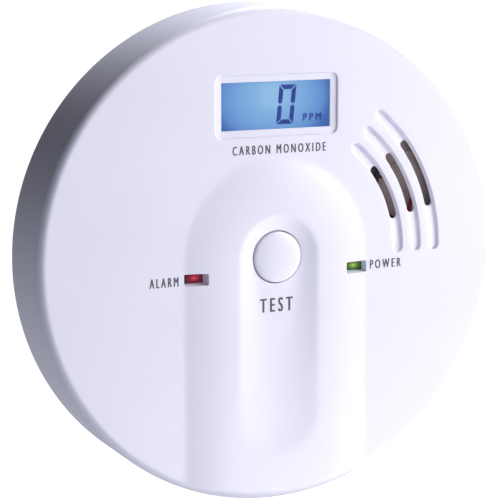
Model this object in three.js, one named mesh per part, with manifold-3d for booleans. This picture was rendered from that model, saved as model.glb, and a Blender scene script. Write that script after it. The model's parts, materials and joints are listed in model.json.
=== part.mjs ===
// A round wall-mounted carbon monoxide alarm, in millimetres.
//
// The alarm is laid out as someone in the room sees it: x to the right, y up and z out of the wall,
// with z = 0 on the wall. The last lines turn that layout so that +Z is up and +Y points into the wall.

import * as THREE from "three";
import { mergeVertices } from "three/addons/utils/BufferGeometryUtils.js";
import Module from "manifold-3d";

const wasm = await Module();
wasm.setup();

// ---- Fits and fineness ----------------------------------------------------------------------

const GAP = 0.3; // between pieces that rest on each other
const SLIP = 0.4; // round pieces that move, or drop into a seat
const ROOT = 0.6; // how far a boss or rib runs into the wall that carries it
const PAST = 1; // how far a cutting tool runs past the surface that it cuts
const BODY_STEPS = 64; // facets of the large circles
const MEDIUM_STEPS = 32; // facets of the button, the sounder and the sensor
const SMALL_STEPS = 16; // facets of screws, pins and pillars

// ---- Front cover ----------------------------------------------------------------------------

const BODY_RADIUS = 70;
const FACE_HEIGHT = 30; // the flat front face above the wall
const COVER_EDGE = 6.7; // the cover's back edge above the wall
const RIM_ROUND = 2.3;
const SIDE_WALL = 2.2;
const FACE_WALL = 2.4;
const INNER_CHAMFER = 1.5;

const RIDGE_RADIUS = 27.9; // the foot of the arched ridge
const RIDGE_HEIGHT = 1.8;
const SCOOP_RADIUS = 12.2; // the finger scoop inside the ridge
const SCOOP_LENGTH = 44.5; // from the button's centre to the centre of the scoop's lower end
const SCOOP_DEPTH = 2.6; // at the button
const SCOOP_END_DEPTH = 1.2;

const DISPLAY_Y = 42.5;
const WINDOW_WIDTH = 33.1;
const WINDOW_HEIGHT = 13.2;
const BEZEL_SLOPE_WIDTH = 1.9; // from the window's edge to the bezel's outer edge
const BEZEL_DEPTH = 0.8;
const LENS_LIP = 0.3; // thickness of the lip that the lens sits behind

const GROOVE_COUNT = 3;
const GROOVE_RADIUS = 38.3; // the innermost groove, about the alarm's axis
const GROOVE_PITCH = 5.9;
const GROOVE_WIDTH = 3;
const GROOVE_DEPTH = 0.9;
const GROOVE_FLOOR = 2.5;
const GROOVE_ANGLES = [0.3, 49.9]; // degrees, from +x towards +y
const SLOT_WIDTH = 2.3;
const SLOT_ANGLES = [14.5, 36.3];

const LED_X = 24.7;
const LED_Y = -4.65;
const LED_WINDOW_WIDTH = 6.1;
const LED_WINDOW_HEIGHT = 2.6;
const LED_WINDOW_DRAFT = 0.5;
const LED_OVERLAP = 0.5; // the lamp beyond its window's edge
const LED_FOOT_STEP = 0.4; // the lamp's foot beyond its lens
const LED_FOOT_HEIGHT = 1;
const LED_CROWN = 0.5; // the bevel round the lens

// ---- Test button and its switch -------------------------------------------------------------

const BUTTON_RADIUS = 7.15;
const BUTTON_RIM = 0.4; // the cap's rim above the flat face
const BUTTON_CROWN = 1; // the dome above the rim
const BUTTON_FLANGE_WIDTH = 1.5; // beyond the cap, under the cover
const BUTTON_FLANGE_THICKNESS = 1.2;
const BUTTON_WALL = 1.5;
const BUTTON_ROOF_HEIGHT = 1.6; // the cap's inner roof above the flange
const BUTTON_STEM_WALL = 0.6; // the stem beyond the plunger
const BUTTON_COLLAR_WALL = 1.4; // the cover's collar round the flange
const BUTTON_TRAVEL = 0.6;
const SWITCH_WIDTH = 6;
const SWITCH_HEIGHT = 3.5;
const SWITCH_LEG_PITCH = 4.4;
const PLUNGER_RADIUS = 1.75;
const PLUNGER_REACH = 1; // above the switch body
const PLUNGER_DEPTH = 1.5; // inside the switch body
const RETURN_SPRING_INSET = 0.6; // the coil's middle inside the cap's edge
const RETURN_SPRING_WIRE = 0.3; // wire radius
const RETURN_SPRING_TURNS = 3.5;

// ---- Rear cover, battery tray and door ------------------------------------------------------

const REAR_FACE = 4.4; // the rear cover's outer face above the wall
const REAR_WALL = 1.8;
const REAR_RIM_WALL = 1.6;
const REAR_RIM_HEIGHT = 5; // the rim above the rear cover's outer face

const CELL_RADIUS = 5.25;
const CELL_LENGTH = 44.5;
const CELL_COUNT = 3;
const CELL_SPACING = 0.4; // between one cell and the next
const CELL_NUB_RADIUS = 1.9;
const CELL_NUB_LENGTH = 1.1;
const CELL_EDGE_CHAMFER = 0.4;
const CONTACT_THICKNESS = 0.4;
const CONTACT_INSET = 1; // the contact's edge inside the cell's
const CONTACT_TAIL_WIDTH = 2;
const CONTACT_TAIL_REACH = 0.8; // beyond the front of the board
const CELL_SPRING_LENGTH = 4.5;
const CELL_SPRING_WIRE = 0.3; // wire radius
const CELL_SPRING_BASE = 3.7; // radius at the contact
const CELL_SPRING_TIP = 2; // radius at the cell
const CELL_SPRING_TURNS = 2.5;
const CELL_CLEARANCE = 0.5; // from the cells to the door
const TRAY_WALL = 1.4;
const TRAY_ROOF_WALL = 1.2;

const DOOR_WALL = 1.6;
const DOOR_MARGIN = 1.85; // from the outer cells to the door's upper edge
const HINGE_DROP = 1.05; // from the lowest cell down to the hinge axis
const HINGE_RADIUS = 1.5;
const HINGE_PIN_RADIUS = 0.8;
const HINGE_SWING_GAP = 0.8; // below the hinge, so that the door can lean past a right angle
const LATCH_WIDTH = 8;
const LATCH_LENGTH = 7;
const LATCH_SLIT = 0.8;
const LATCH_LEDGE = 2; // the blocks behind the door's upper corners
const GRIP_RIB_COUNT = 3;
const GRIP_RIB_PITCH = 2;
const GRIP_RIB_WIDTH = 0.8;
const GRIP_RIB_HEIGHT = 0.5;
const FINGER_HOLLOW_RADIUS = 6;
const FINGER_HOLLOW_DEPTH = 1;

const CASE_SCREW = { head: 2.7, headHeight: 1.6, shank: 1.4, length: 14 };
const CASE_SCREW_SINK = 0.5; // the head below the rear cover's outer face
const CASE_SCREW_ANGLES = [50, 130, 270];
const CASE_SCREW_INSET = 7.8; // from the cover's inner wall to the screw's axis
const CASE_BOSS_RADIUS = 3.5;
const CASE_PAD_RADIUS = 4.5;
const CASE_PAD_HEIGHT = 3.8; // from the rear cover's outer face
const BOARD_SCREW = { head: 2.3, headHeight: 1.3, shank: 1.1, length: 7 };
const BOARD_SCREW_X = 33;
const BOARD_SCREW_Y = 36;
const BOARD_POST_RADIUS = 3;

const LABEL_WIDTH = 34;
const LABEL_HEIGHT = 14;
const LABEL_DROP = 4; // from the tray's lower wall to the label
const LABEL_THICKNESS = 0.25;

// ---- Wall bracket ---------------------------------------------------------------------------

const BRACKET_INSET = 8; // the bracket's edge inside the body's edge
const BRACKET_WIDTH = 16; // of the ring
const BRACKET_WALL = 2.4;
const BRACKET_RIM_WALL = 2;
const HOOK_ANGLES = [90, 210, 330];
const HOOK_INSET = 10; // from the bracket's edge to the hook's post
const HOOK_WALL = 2.2;
const HOOK_LIP = 2.8;
const HOOK_LIP_THICKNESS = 1.6;
const HOOK_SPAN = 10; // degrees
const HOOK_CLEARANCE = 0.5; // degrees, at each end of a hook's slot
const TWIST = 20; // degrees, anticlockwise from the room, to free the head
const WALL_SLOT_ANGLES = [0, 180, 270];
const WALL_SLOT_INSET = 9; // from the bracket's edge to the slots' centre line
const WALL_SLOT_WIDTH = 4.4;
const WALL_SLOT_SPAN = 14; // degrees
const COUNTERSINK_WIDTH = 8.6;
const COUNTERSINK_DEPTH = 1;

// ---- Board and what stands on it ------------------------------------------------------------

const BOARD_THICKNESS = 1.6;
const BOARD_INSET = 5.8; // the board's edge inside the cover's inner wall

const LENS_THICKNESS = 1.1;
const LENS_OVERLAP = 1.9; // the lens beyond the window on each side
const LCD_THICKNESS = 2.2;
const LCD_SIDE_INSET = 0.5; // the panel's edges inside the lens's edges
const LCD_END_INSET = 0.2;
const LCD_FRAME_WALL = 2;
const CONNECTOR_WIDTH = 2; // the rubber contact strip below the light guide
const CONNECTOR_INSET = 1; // the strip's ends inside the panel's
const LAMP_BAY = { depth: 2.5, margin: 3, height: 1.5 }; // in the light guide's left edge

const SENSOR_PLACE = [-44, 8];
const SENSOR_RADIUS = 9.2;
const SENSOR_CRIMP = 0.5; // the can inside its rim
const SENSOR_CAP_HEIGHT = 3;
const SENSOR_CAP_GAP = 0.8; // from the rear cover to the cap
const SENSOR_INLET_RADIUS = 1.5;

const SOUNDER_PLACE = [46.4, 18.8];
const SOUNDER_WALL = 1.4;
const SOUNDER_FLOOR = 0.9;
const PIEZO_RADIUS = 13.6;
const PIEZO_PLAY = 1; // from the disc to the housing's wall
const PIEZO_SEAT = 1.2; // width of the ledge under the disc
const GASKET_SEAT = 0.4; // the disc's edge under the gasket
const PIEZO_DEPTH = 2; // the disc below the housing's rim
const PIEZO_THICKNESS = 0.25;
const CERAMIC_RADIUS = 9;
const CERAMIC_THICKNESS = 0.25;
const CERAMIC_BOND = 0.1; // adhesive between the brass and the ceramic
const LEAD_RADIUS = 0.5;
const LEAD_NOTCH = 2; // width of the notch for one lead
const LEAD_DROP = 0.6; // the bend's radius, outside the housing
const RED_LEAD = { angle: 252, joint: 3.5 }; // direction and solder joint, about the sounder's axis
const BLACK_LEAD = { angle: 173, joint: 10.4 };

const CHIP_PLACE = [-22, -22];
const CHIP_WIDTH = 10;
const CHIP_HEIGHT = 1.5;
const CHIP_LEGS = 7; // on each side
const CHIP_LEG = { pitch: 1.2, width: 0.5, length: 1.4, height: 0.6 };
const COIL_PLACE = [22, -24];
const COIL_RADIUS = 4;
const COIL_WAIST = 0.6; // the winding inside the flanges
const COIL_FLANGE = 0.8;
const COIL_HEADROOM = 1.9; // from the part up to the cover
const CAPACITOR_PLACE = [0, -40];
const CAPACITOR_RADIUS = 3.15;
const CAPACITOR_GROOVE_HEIGHT = 1.2;
const CAPACITOR_HEADROOM = 1.5;

// ---- Sizes that follow from those -----------------------------------------------------------

const COVER_INSIDE = BODY_RADIUS - SIDE_WALL;
const FACE_INSIDE = FACE_HEIGHT - FACE_WALL;
const CREST = FACE_HEIGHT + RIDGE_HEIGHT;
const LED_TIP = FACE_INSIDE - GAP;

const LENS_SEAT = FACE_HEIGHT - BEZEL_DEPTH - LENS_LIP;
const LENS_FRONT = LENS_SEAT - GAP;
const LENS_BACK = LENS_FRONT - LENS_THICKNESS;
const LENS_WIDTH = WINDOW_WIDTH + 2 * LENS_OVERLAP;
const LENS_HEIGHT = WINDOW_HEIGHT + 2 * LENS_OVERLAP;
const LCD_FRONT = LENS_BACK - GAP;
const LCD_BACK = LCD_FRONT - LCD_THICKNESS;
const LCD_HALF_WIDTH = LENS_WIDTH / 2 - LCD_SIDE_INSET;
const LCD_HALF_HEIGHT = LENS_HEIGHT / 2 - LCD_END_INSET;

const REAR_INSIDE = REAR_FACE + REAR_WALL;
const REAR_RADIUS = COVER_INSIDE - 2 * GAP;
const DOOR_INSIDE = REAR_FACE + DOOR_WALL;
const CELL_AXIS = DOOR_INSIDE + CELL_CLEARANCE + CELL_RADIUS;
const CELL_PITCH = 2 * CELL_RADIUS + CELL_SPACING;
const CELLS_HALF_HEIGHT = ((CELL_COUNT - 1) * CELL_PITCH) / 2 + CELL_RADIUS;
const TRAY_HALF_LENGTH = (CELL_LENGTH + CELL_SPRING_LENGTH + 2 * CONTACT_THICKNESS + 4 * GAP) / 2;
const TRAY_ROOF_INSIDE = CELL_AXIS + CELL_RADIUS + GAP;
const TRAY_ROOF = TRAY_ROOF_INSIDE + TRAY_ROOF_WALL;
const HINGE_Y = -CELLS_HALF_HEIGHT - HINGE_DROP;
const HINGE_Z = REAR_FACE + HINGE_RADIUS;
const DOOR_TOP = CELLS_HALF_HEIGHT + DOOR_MARGIN;
const DOOR_HALF_LENGTH = TRAY_HALF_LENGTH - SLIP;
const TRAY_TOP = DOOR_TOP + SLIP;
const TRAY_BOTTOM = HINGE_Y - HINGE_RADIUS - HINGE_SWING_GAP;
const LABEL_Y = TRAY_BOTTOM - TRAY_WALL - LABEL_DROP - LABEL_HEIGHT / 2;

const BOARD_BACK = TRAY_ROOF + GAP;
const BOARD_FRONT = BOARD_BACK + BOARD_THICKNESS;
const BOARD_RADIUS = COVER_INSIDE - BOARD_INSET;
const ON_BOARD = BOARD_FRONT + GAP;

const BRACKET_RADIUS = BODY_RADIUS - BRACKET_INSET;
const HOOK_RADIUS = BRACKET_RADIUS - HOOK_INSET;
const SCREW_RING = COVER_INSIDE - CASE_SCREW_INSET;
const CASE_BOSS_BOTTOM = REAR_FACE + CASE_PAD_HEIGHT + GAP;
const CASE_SCREW_SEAT = REAR_FACE + CASE_SCREW_SINK;
const BOARD_SCREW_SEAT = BOARD_BACK - GAP - BOARD_SCREW.headHeight;

const BUTTON_TOP_RIM = FACE_HEIGHT + BUTTON_RIM;
const BUTTON_FLANGE_TOP = FACE_INSIDE - GAP;
const BUTTON_FLANGE_BOTTOM = BUTTON_FLANGE_TOP - BUTTON_FLANGE_THICKNESS;
const BUTTON_FLANGE_RADIUS = BUTTON_RADIUS + BUTTON_FLANGE_WIDTH;
const PLUNGER_TOP = ON_BOARD + SWITCH_HEIGHT + PLUNGER_REACH;

const SENSOR_CAP_BOTTOM = REAR_INSIDE + SENSOR_CAP_GAP;
const SOUNDER_RADIUS = PIEZO_RADIUS + PIEZO_PLAY + SOUNDER_WALL;
const SOUNDER_TOP = FACE_INSIDE - GAP;
const PIEZO_FRONT = SOUNDER_TOP - PIEZO_DEPTH;
const PIEZO_BACK = PIEZO_FRONT - PIEZO_THICKNESS;
const CERAMIC_BACK = PIEZO_FRONT + CERAMIC_BOND;
const CERAMIC_FRONT = CERAMIC_BACK + CERAMIC_THICKNESS;
const RED_LEAD_Z = CERAMIC_FRONT + GAP + LEAD_RADIUS;
const BLACK_LEAD_Z = PIEZO_FRONT + GAP + LEAD_RADIUS;

// ---- Shapes ---------------------------------------------------------------------------------

const radians = THREE.MathUtils.degToRad;
const lerp = THREE.MathUtils.lerp;

// A closed geometry as a solid, turned to face outwards.
function solidOf(geometry) {
  const bare = geometry.clone();
  bare.deleteAttribute("normal");
  bare.deleteAttribute("uv");
  const { attributes, index } = mergeVertices(bare, 1e-4);
  const corners = [...index.array];
  const triangles = [];
  for (let i = 0; i < corners.length; i += 3) {
    const [a, b, c] = corners.slice(i, i + 3);
    if (a !== b && b !== c && c !== a) triangles.push([a, b, c]);
  }
  const made = manifoldOf(attributes.position.array, triangles);
  if (made.volume() > 0) return made;
  return manifoldOf(attributes.position.array, triangles.map(([a, b, c]) => [a, c, b]));
}

function manifoldOf(vertProperties, triangles) {
  const triVerts = new Uint32Array(triangles.flat());
  return new wasm.Manifold(new wasm.Mesh({ numProp: 3, vertProperties, triVerts }));
}

function geometryOf(solid) {
  const { vertProperties, triVerts } = solid.getMesh();
  const geometry = new THREE.BufferGeometry();
  geometry.setAttribute("position", new THREE.BufferAttribute(vertProperties, 3));
  geometry.setIndex(new THREE.BufferAttribute(triVerts, 1));
  geometry.computeVertexNormals();
  return geometry;
}

const join = (first, ...others) => others.reduce((whole, other) => whole.add(other), first);
const cut = (first, ...tools) => tools.reduce((whole, tool) => whole.subtract(tool), first);

// A round bar along z, from low to high.
function disc(radius, low, high, x = 0, y = 0, steps = SMALL_STEPS) {
  const bar = new THREE.CylinderGeometry(radius, radius, high - low, steps);
  bar.rotateX(Math.PI / 2);
  bar.translate(x, y, (low + high) / 2);
  return solidOf(bar);
}

// A round bar along x, centred on x = 0.
function axle(radius, length, y, z) {
  const bar = new THREE.CylinderGeometry(radius, radius, length, SMALL_STEPS);
  bar.rotateZ(Math.PI / 2);
  bar.translate(0, y, z);
  return solidOf(bar);
}

function block([left, right], [bottom, top], [low, high]) {
  const box = new THREE.BoxGeometry(right - left, top - bottom, high - low);
  box.translate((left + right) / 2, (bottom + top) / 2, (low + high) / 2);
  return solidOf(box);
}

// An upright block given by its middle and its size.
function post(width, height, low, high, x = 0, y = 0) {
  return block([x - width / 2, x + width / 2], [y - height / 2, y + height / 2], [low, high]);
}

function prism(shape, low, high, curveSegments = 12) {
  const bar = new THREE.ExtrudeGeometry(shape, {
    depth: high - low,
    bevelEnabled: false,
    curveSegments,
  });
  bar.translate(0, 0, low);
  return solidOf(bar);
}

// A profile of [radius, z] corners, turned about the z axis.
function turned(profile, steps = SMALL_STEPS) {
  const points = profile.map(([radius, z]) => new THREE.Vector2(radius, z));
  return solidOf(new THREE.LatheGeometry(points, steps).rotateX(Math.PI / 2));
}

// Corners on an arc about [radius, z], for a turned profile; angles in degrees, outwards to +z.
function arc(radius, z, size, from, to, steps) {
  return Array.from({ length: steps + 1 }, (_, i) => {
    const angle = radians(lerp(from, to, i / steps));
    return [radius + size * Math.cos(angle), z + size * Math.sin(angle)];
  });
}

// A closed solid through outlines with the same number of points, each running anticlockwise.
function loft(outlines) {
  const count = outlines[0].length;
  const triangles = [];
  for (let start = 0; start < count * (outlines.length - 1); start += count) {
    for (let i = 0; i < count; i++) {
      const a = start + i;
      const b = start + ((i + 1) % count);
      triangles.push([a, b, b + count], [a, b + count, a + count]);
    }
  }
  const flat = (outline) => outline.map(({ x, y }) => new THREE.Vector2(x, y));
  const last = count * (outlines.length - 1);
  for (const [a, b, c] of THREE.ShapeUtils.triangulateShape(flat(outlines[0]), [])) {
    triangles.push([a, c, b]);
  }
  for (const [a, b, c] of THREE.ShapeUtils.triangulateShape(flat(outlines.at(-1)), [])) {
    triangles.push([last + a, last + b, last + c]);
  }
  const geometry = new THREE.BufferGeometry().setFromPoints(outlines.flat());
  geometry.setIndex(triangles.flat());
  return solidOf(geometry);
}

const raised = (points, z) => points.map(({ x, y }) => new THREE.Vector3(x, y, z));

function rectangle(width, height, x = 0, y = 0) {
  const [w, h] = [width / 2, height / 2];
  return [[-w, -h], [w, -h], [w, h], [-w, h]].map(([dx, dy]) => new THREE.Vector2(x + dx, y + dy));
}

// The outline of a curved slot with round ends, about the alarm's axis; angles in degrees.
function arcSlot(radius, width, [from, to]) {
  const half = width / 2;
  const alongSteps = 9;
  const endSteps = 4;
  const along = (reach, start, end) =>
    Array.from({ length: alongSteps + 1 }, (_, i) => {
      return onRing(reach, lerp(start, end, i / alongSteps));
    });
  const around = (angle, start) =>
    Array.from({ length: endSteps - 1 }, (_, i) => {
      const [x, y] = onRing(radius, angle);
      const [dx, dy] = onRing(half, start + (180 * (i + 1)) / endSteps);
      return [x + dx, y + dy];
    });
  return [
    ...along(radius + half, from, to),
    ...around(to, to),
    ...along(radius - half, to, from),
    ...around(from, from + 180),
  ].map(([x, y]) => new THREE.Vector2(x, y));
}

// A piece of a ring with straight ends, about the alarm's axis; angles in degrees.
function sector(inner, outer, from, to) {
  const shape = new THREE.Shape();
  shape.absarc(0, 0, outer, radians(from), radians(to), false);
  shape.absarc(0, 0, inner, radians(to), radians(from), true);
  shape.closePath();
  return shape;
}

// A round wire along a curve.
function wire(curve, radius, steps) {
  const section = new THREE.Shape().absarc(0, 0, radius, 0, 2 * Math.PI);
  return solidOf(new THREE.ExtrudeGeometry(section, { extrudePath: curve, steps, curveSegments: 3 }));
}

// A coil along z whose radius changes evenly from one end to the other.
class Coil extends THREE.Curve {
  constructor(startRadius, endRadius, low, high, turns) {
    super();
    Object.assign(this, { startRadius, endRadius, low, high, turns });
  }

  getPoint(t, target = new THREE.Vector3()) {
    const radius = lerp(this.startRadius, this.endRadius, t);
    const angle = 2 * Math.PI * this.turns * t;
    const height = lerp(this.low, this.high, t);
    return target.set(radius * Math.cos(angle), radius * Math.sin(angle), height);
  }
}

// The x and y of a point at a radius and an angle in degrees, from +x towards +y.
function onRing(radius, angle) {
  return [radius * Math.cos(radians(angle)), radius * Math.sin(radians(angle))];
}

const casePlaces = CASE_SCREW_ANGLES.map((angle) => onRing(SCREW_RING, angle));
const boardPlaces = [
  [BOARD_SCREW_X, BOARD_SCREW_Y],
  [-BOARD_SCREW_X, BOARD_SCREW_Y],
  [-BOARD_SCREW_X, -BOARD_SCREW_Y],
  [BOARD_SCREW_X, -BOARD_SCREW_Y],
];

// A round bar at each of the places.
const discsAt = (places, radius, low, high) =>
  places.map(([x, y]) => disc(radius, low, high, x, y));

// ---- Front cover ----------------------------------------------------------------------------

function coverShell() {
  return turned(
    [
      [0, FACE_INSIDE],
      [COVER_INSIDE - INNER_CHAMFER, FACE_INSIDE],
      [COVER_INSIDE, FACE_INSIDE - INNER_CHAMFER],
      [COVER_INSIDE, COVER_EDGE],
      [BODY_RADIUS, COVER_EDGE],
      ...arc(BODY_RADIUS - RIM_ROUND, FACE_HEIGHT - RIM_ROUND, RIM_ROUND, 0, 90, 5),
      [0, FACE_HEIGHT],
    ],
    BODY_STEPS,
  );
}

// An arch about the button that runs straight down past the body's edge.
function archOutline(reach, z) {
  const steps = 24;
  const foot = -BODY_RADIUS - RIDGE_RADIUS;
  const points = [new THREE.Vector2(reach, foot)];
  for (let i = 0; i <= steps; i++) {
    const [x, y] = onRing(reach, (180 * i) / steps);
    points.push(new THREE.Vector2(x, y));
  }
  points.push(new THREE.Vector2(-reach, foot));
  return raised(points, z);
}

// The ridge rises steeply at its foot and flattens towards the scoop.
function ridge() {
  const steps = 5;
  const root = FACE_INSIDE + ROOT;
  const outlines = [archOutline(RIDGE_RADIUS, root)];
  for (let i = 0; i <= steps; i++) {
    const toFoot = 1 - i / steps;
    const reach = lerp(SCOOP_RADIUS, RIDGE_RADIUS, toFoot);
    outlines.push(archOutline(reach, FACE_HEIGHT + RIDGE_HEIGHT * (1 - toFoot ** 2)));
  }
  const rimRound = RIM_ROUND + RIDGE_HEIGHT;
  const rim = arc(BODY_RADIUS - rimRound, FACE_HEIGHT - RIM_ROUND, rimRound, 0, 90, 5);
  const body = turned(
    [[0, root], [BODY_RADIUS, root], ...rim.filter(([, z]) => z > root), [0, CREST]],
    BODY_STEPS,
  );
  return loft(outlines).intersect(body);
}

// The scoop is a trough, deepest at the button, whose round ends come up to the crest.
function scoop() {
  const steps = 10;
  const shares = [0.05, 0.3, 0.5, 0.7, 0.85, 1.02]; // of the way from the middle line to the edge
  const outlineAt = (share) => {
    const points = [];
    for (let i = 0; i <= 2 * steps + 1; i++) {
      const upper = i <= steps;
      const [x, y] = onRing(SCOOP_RADIUS * share, (180 * (upper ? i : i - 1)) / steps);
      const along = upper ? 0 : 1;
      const depth = lerp(SCOOP_DEPTH, SCOOP_END_DEPTH, along);
      points.push(new THREE.Vector3(x, y - SCOOP_LENGTH * along, CREST - depth * (1 - share ** 2)));
    }
    return points;
  };
  const floor = shares.map(outlineAt);
  return loft([...floor, raised(floor.at(-1), CREST + BUTTON_RIM)]);
}

function ledWindow(x) {
  const opening = rectangle(LED_WINDOW_WIDTH, LED_WINDOW_HEIGHT, x, LED_Y);
  const draft = 2 * LED_WINDOW_DRAFT;
  const mouth = rectangle(LED_WINDOW_WIDTH + draft, LED_WINDOW_HEIGHT + draft, x, LED_Y);
  return loft([
    raised(opening, FACE_INSIDE - PAST),
    raised(opening, FACE_INSIDE + FACE_WALL / 2),
    raised(mouth, CREST),
  ]);
}

function displayOpening() {
  const y = DISPLAY_Y;
  const slope = 2 * BEZEL_SLOPE_WIDTH;
  const edge = rectangle(WINDOW_WIDTH, WINDOW_HEIGHT, 0, y);
  const bezel = rectangle(WINDOW_WIDTH + slope, WINDOW_HEIGHT + slope, 0, y);
  const seatWidth = WINDOW_WIDTH + 2 * (LENS_OVERLAP + SLIP);
  const seatHeight = WINDOW_HEIGHT + 2 * (LENS_OVERLAP + SLIP);
  return join(
    loft([
      raised(edge, LENS_SEAT - ROOT),
      raised(edge, FACE_HEIGHT - BEZEL_DEPTH),
      raised(bezel, FACE_HEIGHT),
      raised(bezel, CREST),
    ]),
    post(seatWidth, seatHeight, FACE_INSIDE - PAST, LENS_SEAT, 0, y),
  );
}

function grilleCut(index) {
  const radius = GROOVE_RADIUS + index * GROOVE_PITCH;
  const floor = arcSlot(radius, GROOVE_FLOOR, GROOVE_ANGLES);
  const mouth = arcSlot(radius, GROOVE_WIDTH, GROOVE_ANGLES);
  const slot = new THREE.Shape(arcSlot(radius, SLOT_WIDTH, SLOT_ANGLES));
  return join(
    loft([
      raised(floor, FACE_HEIGHT - GROOVE_DEPTH),
      raised(mouth, FACE_HEIGHT),
      raised(mouth, CREST),
    ]),
    prism(slot, FACE_INSIDE - PAST, FACE_HEIGHT),
  );
}

// A ring under the cover that keeps the button's flange in place.
function buttonCollar() {
  const bottom = BUTTON_FLANGE_BOTTOM - BUTTON_TRAVEL - SLIP;
  const inside = BUTTON_FLANGE_RADIUS + SLIP;
  return cut(
    disc(inside + BUTTON_COLLAR_WALL, bottom, FACE_INSIDE + ROOT, 0, 0, MEDIUM_STEPS),
    disc(inside, bottom - PAST, FACE_INSIDE, 0, 0, MEDIUM_STEPS),
  );
}

function frontCover() {
  const inFace = FACE_INSIDE + ROOT;
  return cut(
    join(
      coverShell(),
      ridge(),
      buttonCollar(),
      ...discsAt(casePlaces, CASE_BOSS_RADIUS, CASE_BOSS_BOTTOM, inFace),
      ...discsAt(boardPlaces, BOARD_POST_RADIUS, ON_BOARD, inFace),
    ),
    scoop(),
    disc(BUTTON_RADIUS + SLIP, BUTTON_FLANGE_TOP, CREST + PAST, 0, 0, MEDIUM_STEPS),
    displayOpening(),
    ledWindow(-LED_X),
    ledWindow(LED_X),
    ...Array.from({ length: GROOVE_COUNT }, (_, index) => grilleCut(index)),
    ...screwHoles(casePlaces, CASE_SCREW, CASE_SCREW_SEAT, CASE_BOSS_BOTTOM),
    ...screwHoles(boardPlaces, BOARD_SCREW, BOARD_SCREW_SEAT, ON_BOARD),
  );
}

// ---- Screws ---------------------------------------------------------------------------------

// A cross-head screw whose head's outer face is at z = 0 and whose tip points along +z.
function screw({ head, headHeight, shank, length }) {
  const body = turned([
    [0, 0],
    [head * 0.8, 0],
    [head, headHeight * 0.4],
    [head, headHeight],
    [shank, headHeight],
    [shank, length - shank],
    [0, length],
  ]);
  const driveLength = head * 1.1;
  const driveWidth = head * 0.3;
  const driveDepth = headHeight * 0.6;
  return cut(
    body,
    post(driveLength, driveWidth, -PAST, driveDepth),
    post(driveWidth, driveLength, -PAST, driveDepth),
  );
}

// Blind holes for screws whose heads are at seat, in bosses that start at boss.
function screwHoles(places, { shank, length }, seat, boss) {
  return discsAt(places, shank + GAP, boss - PAST, seat + length + GAP);
}

// ---- Test button and its switch -------------------------------------------------------------

function testButton() {
  const skirtInside = BUTTON_RADIUS - BUTTON_WALL;
  const roof = BUTTON_FLANGE_TOP + BUTTON_ROOF_HEIGHT;
  const stem = PLUNGER_RADIUS + BUTTON_STEM_WALL;
  const edge = 0.2; // a small chamfer round the dome
  const domeSteps = 5;
  const dome = Array.from({ length: domeSteps + 1 }, (_, i) => {
    const share = 1 - i / domeSteps;
    const height = BUTTON_TOP_RIM + BUTTON_CROWN * (1 - share ** 2);
    return [(BUTTON_RADIUS - edge) * share, height];
  });
  return turned(
    [
      [0, PLUNGER_TOP + GAP],
      [stem, PLUNGER_TOP + GAP],
      [stem, roof],
      [skirtInside, roof],
      [skirtInside, BUTTON_FLANGE_BOTTOM],
      [BUTTON_FLANGE_RADIUS, BUTTON_FLANGE_BOTTOM],
      [BUTTON_FLANGE_RADIUS, BUTTON_FLANGE_TOP],
      [BUTTON_RADIUS, BUTTON_FLANGE_TOP],
      [BUTTON_RADIUS, BUTTON_TOP_RIM - edge],
      ...dome,
    ],
    MEDIUM_STEPS,
  );
}

function returnSpring() {
  const low = ON_BOARD + RETURN_SPRING_WIRE;
  const high = BUTTON_FLANGE_BOTTOM - GAP - RETURN_SPRING_WIRE;
  const radius = BUTTON_RADIUS - RETURN_SPRING_INSET;
  return wire(new Coil(radius, radius, low, high, RETURN_SPRING_TURNS), RETURN_SPRING_WIRE, 42);
}

function switchBody() {
  const top = ON_BOARD + SWITCH_HEIGHT;
  const wellRadius = PLUNGER_RADIUS + SLIP;
  const well = disc(wellRadius, top - PLUNGER_DEPTH - BUTTON_TRAVEL - SLIP, top + PAST);
  const legs = [-1, 1].map((side) => {
    const y = (side * SWITCH_LEG_PITCH) / 2;
    return post(SWITCH_WIDTH + 2.6, 0.7, ON_BOARD, ON_BOARD + 1, 0, y);
  });
  return cut(join(post(SWITCH_WIDTH, SWITCH_WIDTH, ON_BOARD, top), ...legs), well);
}

function switchPlunger() {
  const low = ON_BOARD + SWITCH_HEIGHT - PLUNGER_DEPTH;
  const chamfer = 0.2;
  return turned([
    [0, low],
    [PLUNGER_RADIUS, low],
    [PLUNGER_RADIUS, PLUNGER_TOP - chamfer],
    [PLUNGER_RADIUS - chamfer, PLUNGER_TOP],
    [0, PLUNGER_TOP],
  ]);
}

// ---- Display --------------------------------------------------------------------------------

function displayLens() {
  return post(LENS_WIDTH, LENS_HEIGHT, LENS_BACK, LENS_FRONT, 0, DISPLAY_Y);
}

function lcdPanel() {
  return post(2 * LCD_HALF_WIDTH, 2 * LCD_HALF_HEIGHT, LCD_BACK, LCD_FRONT, 0, DISPLAY_Y);
}

function lcdBacklight() {
  const bottom = DISPLAY_Y - LCD_HALF_HEIGHT + CONNECTOR_WIDTH + GAP;
  const top = DISPLAY_Y + LCD_HALF_HEIGHT;
  const left = -LCD_HALF_WIDTH;
  const { depth, margin, height } = LAMP_BAY;
  return cut(
    block([left, LCD_HALF_WIDTH], [bottom, top], [ON_BOARD, LCD_BACK - GAP]),
    block(
      [left - PAST, left + depth],
      [bottom + margin, top - margin],
      [ON_BOARD - PAST, ON_BOARD + height],
    ),
  );
}

function lcdConnector() {
  const bottom = DISPLAY_Y - LCD_HALF_HEIGHT;
  const half = LCD_HALF_WIDTH - CONNECTOR_INSET;
  return block([-half, half], [bottom, bottom + CONNECTOR_WIDTH], [ON_BOARD, LCD_BACK - GAP]);
}

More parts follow.
